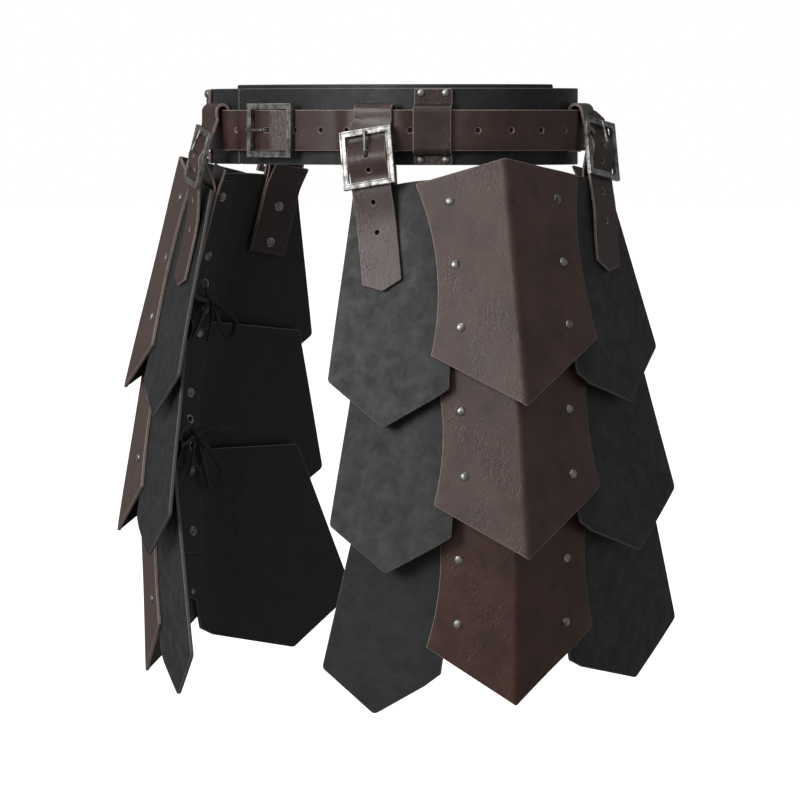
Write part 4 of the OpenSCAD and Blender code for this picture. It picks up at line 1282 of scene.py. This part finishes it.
KNOT_LINES = [
    [[-5, -1.2, -3.2], [-1, -4.6, -1.4], [3, -5.2, 1.6], [5.5, -2.0, 3.0]],
    [[-4.6, -2.4, 3.0], [-2, -5.6, 1.0], [2, -5.2, -2.4], [4.6, -2.2, -3.6]],
]


def smooth_line(points, step=1.5):
    """Points along a smooth curve through the given ones."""
    run = Run(points, [[0, 0, 1]] * len(points), 0.4)
    n = max(14, int(run.length / step))
    at = np.linspace(0, run.length, n)
    return np.stack([np.interp(at, run.s, run.p[:, k]) for k in range(3)], 1)


def lace_curve(name, pts):
    """A flat lace along the points."""
    cu = bpy.data.curves.new(name, "CURVE")
    cu.dimensions = "3D"
    cu.twist_mode = "MINIMUM"
    cu.extrude = (LACE_W - LACE_T) / 2 * MM
    cu.bevel_depth = LACE_T / 2 * MM
    cu.bevel_resolution = 2
    cu.use_fill_caps = True
    sp = cu.splines.new("POLY")
    sp.points.add(len(pts) - 1)
    rows = np.concatenate([pts * MM, np.ones((len(pts), 1))], 1)
    sp.points.foreach_set("co", rows.astype(np.float32).ravel())
    sp.use_smooth = True
    cu.materials.append(LACE)
    return linked_object(name, cu)


def hanging_end(start, tip):
    """An end's route: it sags a little, and is lengthened where it would hang too short."""
    start, tip = np.array(start), np.array(tip, float)
    tip = start + (tip - start) * max(1.0, LACE_END_MIN / np.linalg.norm(tip - start))
    return [start, (start + tip) / 2 + np.array([0, -1.5, 3.0]), tip]


def bow(i, rear, name, side):
    """A tied bow at the rings of a wing: two loops, two ends and the knot."""
    k = (0 if rear else 2) + i
    P = STRIP_PATHS[i]
    h = (EYE_UP + EYE_LOW) / 2 + (1 if i == 1 else 0)
    y = float(np.interp(-h, [-p[1] for p in P], [p[0] for p in P]))
    col = COL_REAR if rear else COL_FRONT
    origin = (col, y - STRIP_T / 2 - RING_T - 1.4, h)
    word = f"{name}_{TIERS[i]}_{'rear' if rear else 'front'}"

    def in_space(points):
        q = np.array(points, float) + origin
        return wing_point(i, rear, q[:, 0], q[:, 1], q[:, 2]) * [side, 1, 1]

    made = []
    for j, pts in enumerate(LOOP_PTS[k]):
        line = smooth_line(in_space(pts))
        o = lace_curve(f"{word}_lace_loop_{j + 1}", line)
        made.append(o)
    for j, tip in enumerate(END_PTS[k]):
        line = smooth_line(in_space(hanging_end(END_STARTS[j], tip)))
        o = lace_curve(f"{word}_lace_end_{j + 1}", line)
        made.append(o)
    up = wing_point(i, rear, 0, 0, 1) - wing_point(i, rear, 0, 0, 0)
    w, parts = LACE_W / 2, []
    for pts in KNOT_LINES:
        run = Run(in_space(pts), [up] * len(pts), 0.6)
        grid = (lines(-w, w, 1.5), lines(0, run.length, 1.2))
        parts.append(leather(oblong(-w, 0, w, run.length, 0.6), [], run.place(KNOT_T), KNOT_T, grid, 0.6))
    knot = leather_piece(f"{word}_lace_knot", parts, [LACE, LACE, LACE])
    for o in made + [knot]:
        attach(o, f"{name}_{TIERS[i]}_lame")
    return knot


for name, side in SIDES:
    for i, tier in enumerate(TIERS[:2]):
        knots = [bow(i, rear, name, side) for rear in (False, True)]
        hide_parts(f"{name}_{('upper', 'lower')[i]}_laces")

# Studio: what the camera sees of the sky is white, and the light that it gives is weaker
SKY_SEEN, SKY_LIGHT = 0.75, 0.25
FLOOR_HALF, FLOOR_Z = 30, -0.62
CAMERA_AT = (3.5967, -3.4733, 0.0058)
CAMERA_DOWN, CAMERA_TURN = 2.574, 45.927
LENS_LENGTH, SENSOR = 281.25, 36

scene = bpy.context.scene
scene.view_settings.view_transform = "Standard"
world = bpy.data.worlds.new("Studio")
scene.world = world
world.use_nodes = True
nodes, links = world.node_tree.nodes, world.node_tree.links
sky = nodes["Background"]
sky.inputs["Color"].default_value = (1, 1, 1, 1)
seen_by = nodes.new("ShaderNodeLightPath")
strength = nodes.new("ShaderNodeMath")
strength.operation = "MULTIPLY_ADD"
links.new(seen_by.outputs["Is Camera Ray"], strength.inputs[0])
strength.inputs[1].default_value = SKY_SEEN
strength.inputs[2].default_value = SKY_LIGHT
links.new(strength.outputs[0], sky.inputs["Strength"])

corners = [(x * FLOOR_HALF, y * FLOOR_HALF, FLOOR_Z) for x, y in ((-1, -1), (1, -1), (1, 1), (-1, 1))]
floor_mesh = bpy.data.meshes.new("floor")
floor_mesh.from_pydata(corners, [], [(0, 1, 2, 3)])
floor = linked_object("floor", floor_mesh)
pale = Finish("pale_floor")
pale.end((0.86, 0.86, 0.86), 0.9)
pale.bsdf.inputs["Emission Color"].default_value = (1, 1, 1, 1)
pale.bsdf.inputs["Emission Strength"].default_value = 1.0
floor_mesh.materials.append(pale.m)
floor.visible_diffuse = False
floor.visible_glossy = False


def soft_light(name, spot, aim, width, height, power):
    data = bpy.data.lights.new(name, "AREA")
    data.shape, data.size, data.size_y, data.energy = "RECTANGLE", width, height, power
    o = linked_object(name, data)
    o.location = spot
    o.rotation_euler = (Vector(aim) - Vector(spot)).to_track_quat("-Z", "Y").to_euler()


soft_light("key_left", (-0.2, -2.9, 0.9), (0.1, -0.05, -0.2), 1.3, 1.8, 66)
soft_light("front_fill", (2.6, -2.9, 1.6), (0.1, 0, -0.2), 1.2, 1.2, 7)
soft_light("top", (0.2, -0.4, 2.4), (0.1, 0, -0.2), 1.6, 1.2, 18)

lens = bpy.data.cameras.new("camera")
lens.lens, lens.sensor_width = LENS_LENGTH, SENSOR
lens.clip_end = 100
camera = linked_object("camera", lens)
camera.location = CAMERA_AT
camera.rotation_euler = (math.radians(90 - CAMERA_DOWN), 0, math.radians(CAMERA_TURN))
scene.camera = camera
